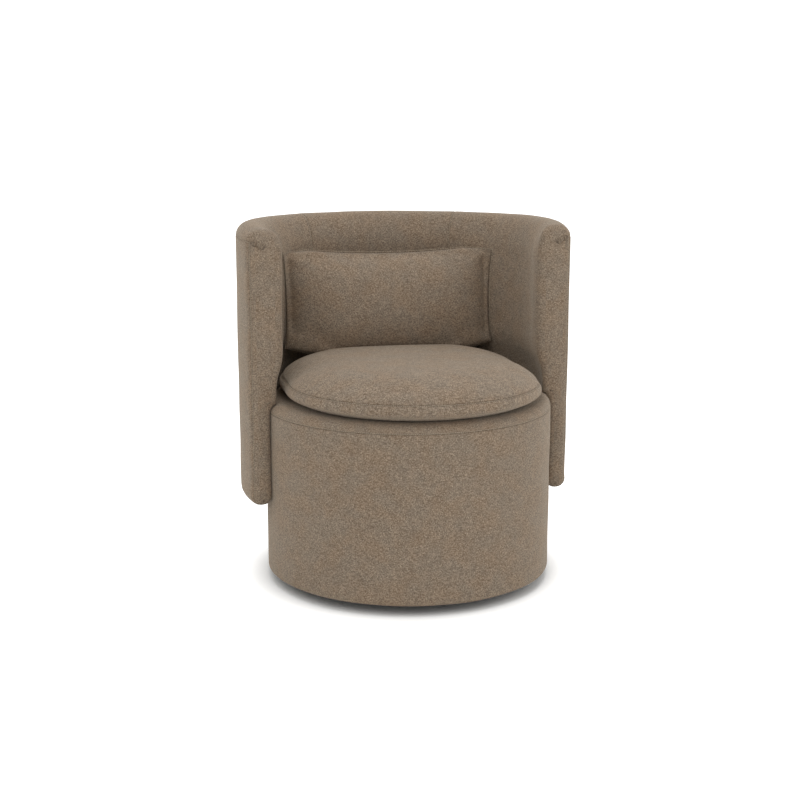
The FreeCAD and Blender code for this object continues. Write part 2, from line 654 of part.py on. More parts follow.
def back_mounting_blocks():
    """Timber blocks between the two lower rails, bolted to the drum's posts."""
    half = BLOCK_WIDTH / 2
    space = frame_ring(POST_OUTER_RADIUS, BACK_WELL_RADIUS, RAIL_BOTTOM + RAIL, LEDGE_RAIL_BOTTOM)
    space = clear_of_drum(space)
    slab = block(-half, half, 0, FAR, 0, FAR)
    blocks = [turned(slab, angle).common(space) for angle in SIDE_POST_ANGLES]
    return drilled(Part.makeCompound(blocks), back_bolt_holes() + tee_nut_sockets())


def back_posts():
    """Timber posts between the ledge rail and the top rail."""
    half = POST_WIDTH / 2
    space = frame_ring(POST_OUTER_RADIUS, POST_INNER_RADIUS, LEDGE_RAIL_TOP, TOP_RAIL_BOTTOM)
    slab = block(-half, half, BACK_AXIS_Y, FAR, 0, FAR)
    posts = [turned(slab, angle, BACK_AXIS_Y) for angle in POST_ANGLES]
    return Part.makeCompound([clear_of_drum(post.common(space)) for post in posts])


def back_inner_panel():
    """Thin bent board inside the posts, which backs the inner foam."""
    wall = frame_ring(INNER_FRAME_RADIUS + PANEL, INNER_FRAME_RADIUS, LEDGE_RAIL_TOP, TOP_RAIL_TOP)
    return clear_of_drum(wall)


def back_outer_panel():
    """Thin bent board outside the posts and rails."""
    return frame_ring(OUTER_FRAME_RADIUS, OUTER_FRAME_RADIUS - PANEL, RAIL_BOTTOM, TOP_RAIL_TOP)


def back_bolts():
    """Bolts from inside the drum through its wall into the mounting blocks."""
    bolts = []
    seat = DRUM_FRAME_RADIUS - DRUM_POST_DEPTH - WASHER
    for angle, height in back_bolt_places():
        shank = back_bolt(BACK_BOLT_RADIUS, seat, tee_nut_base(angle), height)
        head = back_bolt(BACK_BOLT_HEAD_RADIUS, seat - BACK_BOLT_HEAD, seat, height)
        bolts.append(turned(shank.fuse(head).removeSplitter(), angle))
    return Part.makeCompound(bolts)


def back_bolt_washers():
    """Washers under the bolt heads."""
    seat = DRUM_FRAME_RADIUS - DRUM_POST_DEPTH
    washers = []
    for angle, height in back_bolt_places():
        washer = back_bolt(WASHER_RADIUS, seat - WASHER, seat, height)
        washers.append(turned(washer.cut(back_bolt(BACK_BOLT_RADIUS + FIT, 0, FAR / 2, height)), angle))
    return Part.makeCompound(washers)


def back_tee_nuts():
    """Tee nuts in the mounting blocks."""
    nuts = []
    for angle, height in back_bolt_places():
        base = tee_nut_base(angle)
        nut = back_bolt(TEE_NUT_RADIUS, base - TEE_NUT_LENGTH, base, height)
        nut = nut.fuse(back_bolt(TEE_FLANGE_RADIUS, base, base + TEE_FLANGE, height)).removeSplitter()
        nuts.append(turned(nut.cut(back_bolt(BACK_BOLT_RADIUS + FIT / 2, 0, FAR / 2, height)), angle))
    return Part.makeCompound(nuts)


# Barrel back: padding and covers

def frame_envelope():
    """Space of the back's frame, which the padding goes round."""
    top = TOP_RAIL_TOP + FIT
    upper = frame_ring(OUTER_FRAME_RADIUS + FIT, INNER_FRAME_RADIUS - FIT, LEDGE_RAIL_TOP, top)
    lower = frame_ring(OUTER_FRAME_RADIUS + FIT, BACK_WELL_RADIUS, BACK_BOTTOM, LEDGE_RAIL_TOP)
    return upper.fuse(lower).removeSplitter()


def back_padding():
    """Foam of the whole back before it is cut into its pieces."""
    return back_form(FOAM_INSET).cut(frame_envelope())


def back_inner_padding(foam):
    """Foam inside the back, thin behind the cushion and full above it."""
    zone = ring(INNER_FRAME_RADIUS, BACK_WELL_RADIUS, LEDGE_RAIL_TOP + FIT, TOP_RAIL_TOP, BACK_AXIS_Y)
    return foam.common(zone.cut(block(-FAR, FAR, -FAR, FRAME_FRONT_Y, 0, FAR)))


def back_outer_padding(foam):
    """Thin foam outside the back."""
    zone = ring(FAR / 2, OUTER_FRAME_RADIUS, 0, TOP_RAIL_TOP, BACK_AXIS_Y)
    return foam.common(zone.cut(block(-FAR, FAR, -FAR, FRAME_FRONT_Y, 0, FAR)))


def back_top_padding(foam):
    """Rolled foam along the top of the back."""
    return foam.common(block(-FAR, FAR, FRAME_FRONT_Y, FAR, TOP_RAIL_TOP + FIT, FAR))


def wing_padding(foam):
    """Foam on the front ends of the two wings."""
    return foam.common(block(-FAR, FAR, -FAR, FRAME_FRONT_Y, 0, FAR))


def back_skin():
    """Closed cloth skin of the back before it is cut into its panels, with holes for the bolts."""
    skin = back_form(0).cut(back_form(COVER))
    holes = [hole.common(cylinder(BACK_TO_DRUM + 3 * COVER, 0, FAR)) for hole in back_bolt_holes()]
    return drilled(skin, holes)


def outer_zone():
    """Space of the outer cover: outside the back, behind the wing seams and below the top seam."""
    zone = ring(FAR / 2, BACK_RADIUS - BOTTOM_ROLL, 0, BACK_TOP - TOP_SEAM_DROP, BACK_AXIS_Y)
    return zone.cut(block(-FAR, FAR, -FAR, BACK_FRONT_Y + WING_EDGE_RADIUS, 0, FAR))


def lining_zone():
    """Space of the plain lining: against the drum, under the back and on the ledge."""
    low = cylinder(BACK_RADIUS - BOTTOM_ROLL, 0, BACK_BOTTOM + BOTTOM_ROLL, 0, BACK_AXIS_Y)
    hidden = cylinder(BACK_TO_DRUM + 2 * COVER, 0, DRUM_SEAM)
    ledge = cylinder(BACK_TUCK_RADIUS, DRUM_SEAM - 2 * COVER, DRUM_SEAM, 0, BACK_AXIS_Y)
    zone = low.fuse(hidden).fuse(ledge)
    return zone.cut(block(-FAR, FAR, -FAR, BACK_FRONT_Y + WING_EDGE_RADIUS, 0, FAR))


def back_outer_cover(skin):
    """Cloth outside the back, one piece from wing to wing."""
    return skin.common(outer_zone())


def back_lining(skin):
    """Plain cloth where the back meets the drum."""
    return skin.cut(outer_zone()).common(lining_zone())


def inner_cover(skin, middle):
    """One panel of the inner cover, about an angle; the side panels also wrap the wings' ends."""
    rest = skin.cut(outer_zone()).cut(lining_zone())
    centre = wedge(SEAM_ANGLE, 0, FAR, BACK_AXIS_Y)
    if middle == 0:
        return rest.common(centre)
    side = block(0, FAR, -FAR, FAR, 0, FAR) if middle > 0 else block(-FAR, 0, -FAR, FAR, 0, FAR)
    return rest.cut(centre).common(side)


# Seat cushion

def cushion_outline(inset):
    """Closed half outline of the cushion from its crown, over its girth to its flat base."""
    radius = CUSHION_RADIUS - inset
    rise = CUSHION_RISE - inset
    top = CUSHION_GIRTH + rise
    low = CUSHION_GIRTH - CUSHION_SIDE_HEIGHT
    points = [(radius * share, CUSHION_GIRTH + rise * (1 - share ** CUSHION_DOME_POWER))
              for share in CUSHION_DOME_STATIONS]
    points += [(radius, CUSHION_GIRTH - CUSHION_EDGE_DROP), (radius - CUSHION_SIDE_INSET, low),
               (radius - CUSHION_BASE_INSET, CUSHION_BOTTOM + inset)]
    edges = tangent_arcs((0, top), 0.0, points)
    edges += [line(points[-1], (0, CUSHION_BOTTOM + inset)), line((0, CUSHION_BOTTOM + inset), (0, top))]
    return edges


def cushion_form(inset):
    """Outer form of the cushion, drawn in by inset: a round front and a round rear with a short middle."""
    edges = cushion_outline(inset)
    front = revolved(edges, CUSHION_FRONT_Y, 180.0, 180.0)
    rear = revolved(edges, BACK_AXIS_Y, 0.0, 180.0)
    half = Part.Face(Part.Wire(edges)).extrude(Vector(0, BACK_AXIS_Y - CUSHION_FRONT_Y, 0))
    half.translate(Vector(0, CUSHION_FRONT_Y, 0))
    other = half.mirror(Vector(0, 0, 0), Vector(1, 0, 0))
    return front.fuse([rear, half, other]).removeSplitter()


def cushion_core():
    """Foam core of the seat cushion."""
    return cushion_form(FOAM_INSET + CUSHION_WRAP)


def cushion_wrap():
    """Fibre wrap round the core."""
    return cushion_form(FOAM_INSET).cut(cushion_form(FOAM_INSET + CUSHION_WRAP - FIT))


def zip_zone(half_angle):
    """Space of the zip at the back of the cushion, below its girth."""
    return wedge(half_angle, ZIP_BOTTOM, ZIP_BOTTOM + ZIP_WIDTH, BACK_AXIS_Y)


def cushion_top_cover():
    """Cloth over the cushion, down to the seam round its girth."""
    return cushion_form(0).cut(cushion_form(COVER)).common(cylinder(FAR, CUSHION_GIRTH, FAR))


def cushion_bottom_cover():
    """Cloth under the cushion, up to the seam, cut out for the zip."""
    skin = cushion_form(0).cut(cushion_form(COVER)).common(cylinder(FAR, 0, CUSHION_GIRTH))
    return skin.cut(zip_zone(ZIP_HALF_ANGLE))


def cushion_zip():
    """Zip in the cushion's rear wall."""
    return cushion_form(0).cut(cushion_form(COVER)).common(zip_zone(ZIP_HALF_ANGLE))


def cushion_zip_slider():
    """Slider of the zip with its pull, bent to the cushion's side."""
    outer = cushion_form(-SLIDER_GAP - SLIDER_THICKNESS)
    band = outer.cut(cushion_form(-SLIDER_GAP))
    body = band.common(wedge(SLIDER_HALF_ANGLE, ZIP_BOTTOM, ZIP_BOTTOM + ZIP_WIDTH, BACK_AXIS_Y))
    thin = outer.cut(cushion_form(-SLIDER_GAP - SLIDER_THICKNESS / 2))
    zip_top = ZIP_BOTTOM + ZIP_WIDTH
    pull = thin.common(wedge(SLIDER_HALF_ANGLE / 2, zip_top, zip_top + SLIDER_PULL, BACK_AXIS_Y))
    return body.fuse(pull).removeSplitter()


# Lumbar pillow

def lens(x, low, high, thickness):
    """Upright lens-shaped section of the pillow, across X."""
    middle = (low + high) / 2
    bottom = Vector(x, 0, low)
    top = Vector(x, 0, high)
    front = Part.Arc(bottom, Vector(x, -thickness / 2, middle), top).toShape()
    rear = Part.Arc(top, Vector(x, thickness / 2, middle), bottom).toShape()
    return Part.Wire([front, rear])


def pillow_section(share, inset):
    """Section of the pillow at a share of its half width."""
    x = share * (PILLOW_WIDTH / 2 - inset)
    spread = share ** 2
    swell = 1 - abs(share) ** PILLOW_SWELL_POWER
    thickness = (PILLOW_THICKNESS - PILLOW_EDGE_THICKNESS) * swell + PILLOW_EDGE_THICKNESS
    low = PILLOW_CORNER_LIFT * abs(share) ** PILLOW_CORNER_POWER + inset
    high = PILLOW_HEIGHT - PILLOW_TOP_SAG * (1 - spread) - inset
    return lens(x, low, high, thickness - 2 * inset)


def pillow_form(inset):
    """Outer form of the pillow, drawn in by inset, in its place against the back."""
    shares = [-share for share in reversed(PILLOW_STATIONS[1:])] + list(PILLOW_STATIONS)
    form = Part.makeLoft([pillow_section(share, inset) for share in shares], True, False)
    return pillow_placed(form)


def pillow_placed(shape):
    """Shape in the pillow's own frame, leant back and set on the cushion."""
    copy = shape.copy()
    copy.rotate(Vector(0, 0, 0), Vector(1, 0, 0), -PILLOW_LEAN)
    copy.translate(Vector(0, PILLOW_FOOT_Y, PILLOW_BOTTOM))
    return copy


def pillow_insert():
    """Fibre-filled insert of the pillow."""
    return pillow_form(FOAM_INSET)


def pillow_cover(side):
    """Front or rear cloth of the pillow, up to the seam round its edge."""
    half = block(-FAR, FAR, 0, FAR, -FAR, FAR) if side > 0 else block(-FAR, FAR, -FAR, 0, -FAR, FAR)
    return pillow_form(0).cut(pillow_form(COVER)).common(pillow_placed(half))


def nodes():
    """Every sub-part of the chair by its name."""
    foam = back_padding()
    skin = back_skin()
    return {
        "floor_glides": floor_glides(),
        "plinth": plinth(),
        "swivel_lower_plate": swivel_lower_plate(),
        "lower_plate_screws": spread_round(plate_screw(0), PLATE_SCREW_COUNT),
        "swivel_rivet": swivel_rivet(),
        "bearing_balls": bearing_balls(),
        "ball_cage": ball_cage(),
        "swivel_upper_plate": swivel_upper_plate(),
        "upper_plate_bolts": upper_plate_bolts(),
        "upper_plate_nuts": upper_plate_nuts(),
        "dust_cover": dust_cover(),
        "drum_bottom_panel": drum_bottom_panel(),
        "drum_posts": drum_posts(),
        "drum_top_ring": drum_top_ring(),
        "drum_skin": drum_skin(),
        "drum_padding": drum_padding(),
        "drum_cover": drum_cover(),
        "deck_springs": deck_springs(),
        "spring_clips": spring_clips(),
        "spring_pad": spring_pad(),
        "deck_foam": deck_foam(),
        "deck_cover": deck_cover(),
        "back_bottom_rail": back_bottom_rail(),
        "back_ledge_rail": back_ledge_rail(),
        "back_top_rail": back_top_rail(),
        "back_mounting_blocks": back_mounting_blocks(),
        "back_posts": back_posts(),
        "back_inner_panel": back_inner_panel(),
        "back_outer_panel": back_outer_panel(),
        "back_bolts": back_bolts(),
        "back_bolt_washers": back_bolt_washers(),
        "back_tee_nuts": back_tee_nuts(),
        "back_inner_padding": back_inner_padding(foam),
        "back_outer_padding": back_outer_padding(foam),
        "back_top_padding": back_top_padding(foam),
        "wing_padding": wing_padding(foam),
        "back_outer_cover": back_outer_cover(skin),
        "back_lining": back_lining(skin),
        "inner_cover_left": inner_cover(skin, -1),
        "inner_cover_centre": inner_cover(skin, 0),
        "inner_cover_right": inner_cover(skin, 1),
        "cushion_core": cushion_core(),
        "cushion_wrap": cushion_wrap(),
        "cushion_top_cover": cushion_top_cover(),
        "cushion_bottom_cover": cushion_bottom_cover(),
        "cushion_zip": cushion_zip(),
        "cushion_zip_slider": cushion_zip_slider(),
        "pillow_insert": pillow_insert(),
        "pillow_front_cover": pillow_cover(-1),
        "pillow_rear_cover": pillow_cover(1),
    }


if __name__ == "__main__":
    os.makedirs("parts", exist_ok=True)
    for name, shape in nodes().items():
        shape.exportStep("parts/" + name + ".step")
        print(name, len(shape.Solids), "solids", round(shape.Volume / 1000), "cm3")
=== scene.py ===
"""Looks of the swivel barrel chair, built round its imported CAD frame.

Metres. The origin is on the floor, on the swivel axis; +Z is up and -Y is the front.
"""

import logging
import math
from dataclasses import dataclass
from enum import Enum

import bmesh
import bpy
import numpy as np
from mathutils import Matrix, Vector, noise
from mathutils.bvhtree import BVHTree


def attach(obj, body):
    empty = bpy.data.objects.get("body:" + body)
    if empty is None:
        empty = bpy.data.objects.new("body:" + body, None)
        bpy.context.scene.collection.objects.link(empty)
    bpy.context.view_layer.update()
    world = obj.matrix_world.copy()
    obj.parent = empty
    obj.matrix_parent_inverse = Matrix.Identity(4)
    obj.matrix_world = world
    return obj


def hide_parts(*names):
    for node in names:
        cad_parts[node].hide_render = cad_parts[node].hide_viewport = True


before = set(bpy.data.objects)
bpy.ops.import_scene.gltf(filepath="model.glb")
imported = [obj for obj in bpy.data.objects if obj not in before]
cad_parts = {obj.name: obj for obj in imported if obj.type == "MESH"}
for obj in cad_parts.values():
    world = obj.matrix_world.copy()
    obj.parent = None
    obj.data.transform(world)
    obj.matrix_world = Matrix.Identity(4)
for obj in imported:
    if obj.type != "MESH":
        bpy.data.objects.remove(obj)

log = logging.getLogger("barrel_chair")

MM = 0.001
Point = tuple[float, float, float]
CLOTH_MAP = "cloth"
SEAM_DEPTH = "seam"


def linear(code: str) -> tuple[float, float, float, float]:
    """Turns an sRGB hex colour into a linear one.

    Args:
        code: Colour as "#RRGGBB".

    Returns:
        Linear red, green, blue and alpha.
    """
    parts = [int(code[k : k + 2], 16) / 255 for k in (1, 3, 5)]
    red, green, blue = (c / 12.92 if c <= 0.04045 else ((c + 0.055) / 1.055) ** 2.4 for c in parts)
    return red, green, blue, 1.0


def add(
    tree: bpy.types.NodeTree,
    kind: str,
    settings: dict[str, object] | None = None,
    inputs: dict[str | int, object] | None = None,
) -> bpy.types.Node:
    """Adds a node with its settings and its links.

    Args:
        tree: Node tree that gets the node.
        kind: Type name of the node.
        settings: Properties of the node by name.
        inputs: Values or source sockets by input name or index.

    Returns:
        The new node.
    """
    node = tree.nodes.new(kind)
    for name, value in (settings or {}).items():
        setattr(node, name, value)
    for key, value in (inputs or {}).items():
        socket = node.inputs[key]
        if isinstance(value, bpy.types.NodeSocket):
            tree.links.new(value, socket)
        else:
            socket.default_value = value
    return node


def mixed(tree: bpy.types.NodeTree, factor: object, low: object, high: object) -> bpy.types.NodeSocket:
    """Mixes two colours, each a hex value or a socket.

    Args:
        tree: Node tree of the material.
        factor: Share of the second colour, a number or a socket.
        low: Colour at 0.
        high: Colour at 1.

    Returns:
        Socket of the mixed colour.
    """
    ends = [linear(c) if isinstance(c, str) else c for c in (low, high)]
    node = add(tree, "ShaderNodeMix", {"data_type": "RGBA"}, {0: factor, 6: ends[0], 7: ends[1]})
    return node.outputs[2]


def eased(
    tree: bpy.types.NodeTree, value: bpy.types.NodeSocket, low: float, high: float
) -> bpy.types.NodeSocket:
    """Turns the range from low to high of a value into 0 to 1, smoothly and clamped."""
    settings = {"interpolation_type": "SMOOTHSTEP"}
    return add(tree, "ShaderNodeMapRange", settings, {0: value, 1: low, 2: high}).outputs[0]


class Finish:
    """A finish that makes its material once and gives it to every piece."""

    name: str

    def build(self, tree: bpy.types.NodeTree, shader: bpy.types.Node) -> None:
        """Adds this finish's own nodes to a new material."""
        raise NotImplementedError

    def material(self) -> bpy.types.Material:
        """Returns this finish's material, made the first time it is asked for."""
        found = bpy.data.materials.get(self.name)
        if found:
            return found
        material = bpy.data.materials.new(self.name)
        material.use_nodes = True
        tree = material.node_tree
        tree.nodes.clear()
        shader = add(tree, "ShaderNodeBsdfPrincipled")
        add(tree, "ShaderNodeOutputMaterial", None, {"Surface": shader.outputs[0]})
        self.build(tree, shader)
        return material

    def dress(self, piece: bpy.types.Object) -> None:
        """Puts the material on a piece, in every material slot it has."""
        if not piece.data.materials:
            piece.data.materials.append(self.material())
            return
        for slot in piece.material_slots:
            slot.material = self.material()


@dataclass(frozen=True)
class SlubCloth(Finish):
    """Chenille-like slub weave: short thick and thin threads both ways, so it looks mottled, never plain."""

    name: str
    ground: str = "#7D6C5A"
    shade: str = "#524539"
    light: str = "#A6947F"
    fleck: str = "#C9BAA3"
    pit: str = "#473A2F"
    warm: str = "#8C6F55"
    cool: str = "#7E7972"
    thread: float = 1.7 * MM
    slub_width: float = 1.5 * MM
    slub_length: float = 4.6 * MM
    mottle: float = 15 * MM
    cast: float = 60 * MM
    bump: float = 0.9 * MM

    def streaks(
        self, tree: bpy.types.NodeTree, flat: bpy.types.NodeSocket, across: float, along: float, seed: float
    ) -> bpy.types.NodeSocket:
        """Noise stretched along the cloth's own directions.

        Args:
            tree: Node tree of the material.
            flat: Place on the flat cloth, in metres.
            across: Size of a fleck along the weft.
            along: Size of a fleck along the warp.
            seed: Shift that makes this layer its own.

        Returns:
            Socket with a value round 0.5.
        """
        settings = {"operation": "MULTIPLY_ADD"}
        inputs = {0: flat, 1: (1 / across, 1 / along, 1.0), 2: (seed,) * 3}
        scaled = add(tree, "ShaderNodeVectorMath", settings, inputs)
        inputs = {"Vector": scaled.outputs[0], "Scale": 1.0, "Detail": 2.0, "Roughness": 0.62}
        return add(tree, "ShaderNodeTexNoise", None, inputs).outputs["Fac"]

    def build(self, tree: bpy.types.NodeTree, shader: bpy.types.Node) -> None:
        """Adds threads, slubs, mottling and a drift of hue, all on the flat cloth in metres, and painted
        shade in the seams.
        """
        flat = add(tree, "ShaderNodeUVMap", {"uv_map": CLOTH_MAP}).outputs[0]
        warp = self.streaks(tree, flat, self.slub_width, self.slub_length, 3.1)
        weft = self.streaks(tree, flat, self.slub_length, self.slub_width, 17.7)
        flecks = self.streaks(tree, flat, 1.3 * self.slub_width, 1.6 * self.slub_width, 41.3)
        patches = self.streaks(tree, flat, self.mottle, 1.6 * self.mottle, 5.9)
        drift = self.streaks(tree, flat, self.cast, self.cast, 71.9)
        woven = add(tree, "ShaderNodeMath", {"operation": "ADD"}, {0: warp, 1: weft}).outputs[0]
        colour = mixed(tree, eased(tree, woven, 0.72, 1.28), self.shade, self.light)
        colour = mixed(tree, 0.26, colour, self.ground)
        colour = mixed(tree, eased(tree, patches, 0.34, 0.68), self.darker(tree, colour, 0.88), colour)
        hue = mixed(tree, eased(tree, drift, 0.32, 0.68), self.warm, self.cool)
        colour = mixed(tree, 0.16, colour, hue)
        colour = mixed(tree, self.share(tree, eased(tree, flecks, 0.57, 0.72), 0.5), colour, self.fleck)
        colour = mixed(tree, self.share(tree, eased(tree, flecks, 0.43, 0.3), 0.36), colour, self.pit)
        # Painted shade: the cloth's colour is darkened towards half in the bottom of each seam, standing in
        # for the shade that falls in the crease.
        seam = add(tree, "ShaderNodeAttribute", {"attribute_name": SEAM_DEPTH}).outputs["Fac"]
        colour = mixed(tree, self.share(tree, seam, 0.6), colour, self.darker(tree, colour, 0.5))
        inputs = {"Vector": flat, "Scale": 1 / self.thread}
        threads = add(tree, "ShaderNodeTexVoronoi", {"feature": "F1"}, inputs)
        inputs = {0: threads.outputs["Distance"], 1: -0.5}
        relief = add(tree, "ShaderNodeMath", {"operation": "MULTIPLY"}, inputs)
        relief = add(tree, "ShaderNodeMath", {"operation": "ADD"}, {0: relief.outputs[0], 1: woven})
        inputs = {"Strength": 0.6, "Distance": self.bump, "Height": relief.outputs[0]}
        bump = add(tree, "ShaderNodeBump", None, inputs)
        tree.links.new(colour, shader.inputs["Base Color"])
        tree.links.new(bump.outputs[0], shader.inputs["Normal"])
        rough = add(tree, "ShaderNodeMapRange", None, {0: warp, 3: 0.82, 4: 0.97})
        tree.links.new(rough.outputs[0], shader.inputs["Roughness"])
        shader.inputs["IOR"].default_value = 1.5
        shader.inputs["Specular IOR Level"].default_value = 0.2
        shader.inputs["Sheen Weight"].default_value = 0.34
        shader.inputs["Sheen Roughness"].default_value = 0.45
        shader.inputs["Sheen Tint"].default_value = linear("#E8DCCB")

    def darker(
        self, tree: bpy.types.NodeTree, colour: bpy.types.NodeSocket, share: float
    ) -> bpy.types.NodeSocket:
        """Colour scaled down to a share of its brightness."""
        inputs = {0: colour, "Scale": share}
        return add(tree, "ShaderNodeVectorMath", {"operation": "SCALE"}, inputs).outputs[0]

    def share(
        self, tree: bpy.types.NodeTree, value: bpy.types.NodeSocket, size: float
    ) -> bpy.types.NodeSocket:
        """Value scaled to a share of itself."""
        return add(tree, "ShaderNodeMath", {"operation": "MULTIPLY"}, {0: value, 1: size}).outputs[0]


@dataclass(frozen=True)
class PlainCloth(Finish):
    """Plain thin cloth, woven or pressed: one dark colour with fine threads and a little dust."""

    name: str
    colour: str
    dust: str
    thread: float = 1.2 * MM
    roughness: float = 0.9

    def build(self, tree: bpy.types.NodeTree, shader: bpy.types.Node) -> None:
        """Adds fine crossed threads and dusty patches on Object coordinates."""
        place = add(tree, "ShaderNodeTexCoord").outputs["Object"]
        inputs = {"Vector": place, "Scale": 1 / self.thread, "Detail": 2.0}
        fine = add(tree, "ShaderNodeTexNoise", None, inputs)
        broad = add(tree, "ShaderNodeTexNoise", None, {"Vector": place, "Scale": 18.0, "Detail": 4.0})
        colour = mixed(tree, eased(tree, broad.outputs["Fac"], 0.35, 0.8), self.colour, self.dust)
        inputs = {"Strength": 0.4, "Distance": 0.3 * MM, "Height": fine.outputs["Fac"]}
        bump = add(tree, "ShaderNodeBump", None, inputs)
        tree.links.new(colour, shader.inputs["Base Color"])
        tree.links.new(bump.outputs[0], shader.inputs["Normal"])
        shader.inputs["Roughness"].default_value = self.roughness
        shader.inputs["Specular IOR Level"].default_value = 0.25


@dataclass(frozen=True)
class Wood(Finish):
    """Planed or sanded wood, plywood or pressed board: fine grain along one axis and broad rings."""

    name: str
    early: str
    late: str
    along: tuple[float, float, float] = (1.0, 1.0, 0.08)
    grain: float = 2.5 * MM
    roughness: float = 0.72

    def build(self, tree: bpy.types.NodeTree, shader: bpy.types.Node) -> None:
        """Adds grain stretched along the wood, on Object coordinates."""
        place = add(tree, "ShaderNodeTexCoord").outputs["Object"]
        inputs = {0: place, 1: self.along}
        drawn = add(tree, "ShaderNodeVectorMath", {"operation": "MULTIPLY"}, inputs).outputs[0]
        inputs = {"Vector": drawn, "Scale": 1 / self.grain, "Detail": 4.0, "Roughness": 0.6}
        fine = add(tree, "ShaderNodeTexNoise", None, inputs)
        inputs = {"Vector": drawn, "Scale": 22.0, "Detail": 3.0, "Distortion": 1.4}
        rings = add(tree, "ShaderNodeTexNoise", None, inputs)
        inputs = {0: fine.outputs["Fac"], 1: rings.outputs["Fac"]}
        both = add(tree, "ShaderNodeMath", {"operation": "ADD"}, inputs)
        colour = mixed(tree, eased(tree, both.outputs[0], 0.7, 1.3), self.early, self.late)
        inputs = {"Strength": 0.3, "Distance": 0.2 * MM, "Height": both.outputs[0]}
        bump = add(tree, "ShaderNodeBump", None, inputs)
        inputs = {0: fine.outputs["Fac"], 3: self.roughness - 0.1, 4: 0.85}
        rough = add(tree, "ShaderNodeMapRange", None, inputs)
        tree.links.new(colour, shader.inputs["Base Color"])
        tree.links.new(bump.outputs[0], shader.inputs["Normal"])
        tree.links.new(rough.outputs[0], shader.inputs["Roughness"])


@dataclass(frozen=True)
class PaintedPly(Finish):
    """Plywood brushed matt black: dark, slightly uneven, scuffed pale where it rubs."""

    name: str
    paint: str = "#17140F"
    scuff: str = "#3A352D"

    def build(self, tree: bpy.types.NodeTree, shader: bpy.types.Node) -> None:
        """Adds brush marks and scuffs on Object coordinates."""
        place = add(tree, "ShaderNodeTexCoord").outputs["Object"]
        inputs = {"Vector": place, "Scale": 55.0, "Detail": 5.0, "Roughness": 0.7}
        marks = add(tree, "ShaderNodeTexNoise", None, inputs)
        brushed = add(tree, "ShaderNodeTexNoise", None, {"Vector": place, "Scale": 240.0, "Detail": 2.0})
        colour = mixed(tree, eased(tree, marks.outputs["Fac"], 0.58, 0.74), self.paint, self.scuff)
        inputs = {"Strength": 0.35, "Distance": 0.25 * MM, "Height": brushed.outputs["Fac"]}
        bump = add(tree, "ShaderNodeBump", None, inputs)
        rough = add(tree, "ShaderNodeMapRange", None, {0: marks.outputs["Fac"], 3: 0.5, 4: 0.8})
        tree.links.new(colour, shader.inputs["Base Color"])
        tree.links.new(bump.outputs[0], shader.inputs["Normal"])
        tree.links.new(rough.outputs[0], shader.inputs["Roughness"])


@dataclass(frozen=True)
class Metal(Finish):
    """Steel or cast zinc: a metal with fine drawing marks and a cloudy plating."""

    name: str
    bright: str
    cloud: str
    roughness: float = 0.36
    marks: float = 1.5 * MM

    def build(self, tree: bpy.types.NodeTree, shader: bpy.types.Node) -> None:
        """Adds a cloudy plating and fine marks on Object coordinates."""
        place = add(tree, "ShaderNodeTexCoord").outputs["Object"]
        cloud = add(tree, "ShaderNodeTexNoise", None, {"Vector": place, "Scale": 70.0, "Detail": 3.0})
        inputs = {"Vector": place, "Scale": 1 / self.marks, "Detail": 2.0}
        fine = add(tree, "ShaderNodeTexNoise", None, inputs)
        colour = mixed(tree, eased(tree, cloud.outputs["Fac"], 0.35, 0.7), self.bright, self.cloud)
        settings = {0: cloud.outputs["Fac"], 3: self.roughness - 0.08, 4: self.roughness + 0.16}
        rough = add(tree, "ShaderNodeMapRange", None, settings)
        inputs = {"Strength": 0.15, "Distance": 0.1 * MM, "Height": fine.outputs["Fac"]}
        bump = add(tree, "ShaderNodeBump", None, inputs)
        tree.links.new(colour, shader.inputs["Base Color"])
        tree.links.new(rough.outputs[0], shader.inputs["Roughness"])
        tree.links.new(bump.outputs[0], shader.inputs["Normal"])
        shader.inputs["Metallic"].default_value = 1.0


@dataclass(frozen=True)
class Moulded(Finish):
    """Moulded plastic or spun thread: one colour with a fine even grain."""

    name: str
    colour: str
    worn: str
    roughness: float = 0.5
    grain: float = 0.8 * MM

    def build(self, tree: bpy.types.NodeTree, shader: bpy.types.Node) -> None:
        """Adds a fine grain and slight wear on Object coordinates."""
        place = add(tree, "ShaderNodeTexCoord").outputs["Object"]
        inputs = {"Vector": place, "Scale": 1 / self.grain, "Detail": 2.0}
        fine = add(tree, "ShaderNodeTexNoise", None, inputs)
        broad = add(tree, "ShaderNodeTexNoise", None, {"Vector": place, "Scale": 90.0, "Detail": 3.0})
        colour = mixed(tree, eased(tree, broad.outputs["Fac"], 0.5, 0.8), self.colour, self.worn)
        inputs = {"Strength": 0.2, "Distance": 0.1 * MM, "Height": fine.outputs["Fac"]}
        bump = add(tree, "ShaderNodeBump", None, inputs)
        tree.links.new(colour, shader.inputs["Base Color"])
        tree.links.new(bump.outputs[0], shader.inputs["Normal"])
        shader.inputs["Roughness"].default_value = self.roughness
        shader.inputs["IOR"].default_value = 1.5


CHAIR_CLOTH = SlubCloth("slub_woven_chair_cloth")
SEAT_CLOTH = SlubCloth("slub_weave_seat", slub_width=1.8 * MM, slub_length=7 * MM, mottle=20 * MM)
LINING = PlainCloth("plain_cotton_lining", "#2B2722", "#3B362F")
DUST_CLOTH = PlainCloth("non_woven_dust_cloth", "#141312", "#26241F", 2.0 * MM)
SOFTWOOD = Wood("planed_softwood", "#C9A876", "#A98350")
PLYWOOD = Wood("sanded_plywood", "#C2A379", "#A8875B", (1.0, 0.12, 1.0))
BENT_BOARD = Wood("bent_hardboard", "#8B6444", "#6F4C31", (1.0, 1.0, 1.0), 1.6 * MM)
BLACK_PLY = PaintedPly("matt_black_painted_plywood")
ZINC_STEEL = Metal("zinc_plated_steel", "#C9CCCB", "#A7ABA9")
SPRING_STEEL = Metal("oiled_spring_steel", "#8E8D8A", "#6A6864", 0.3)
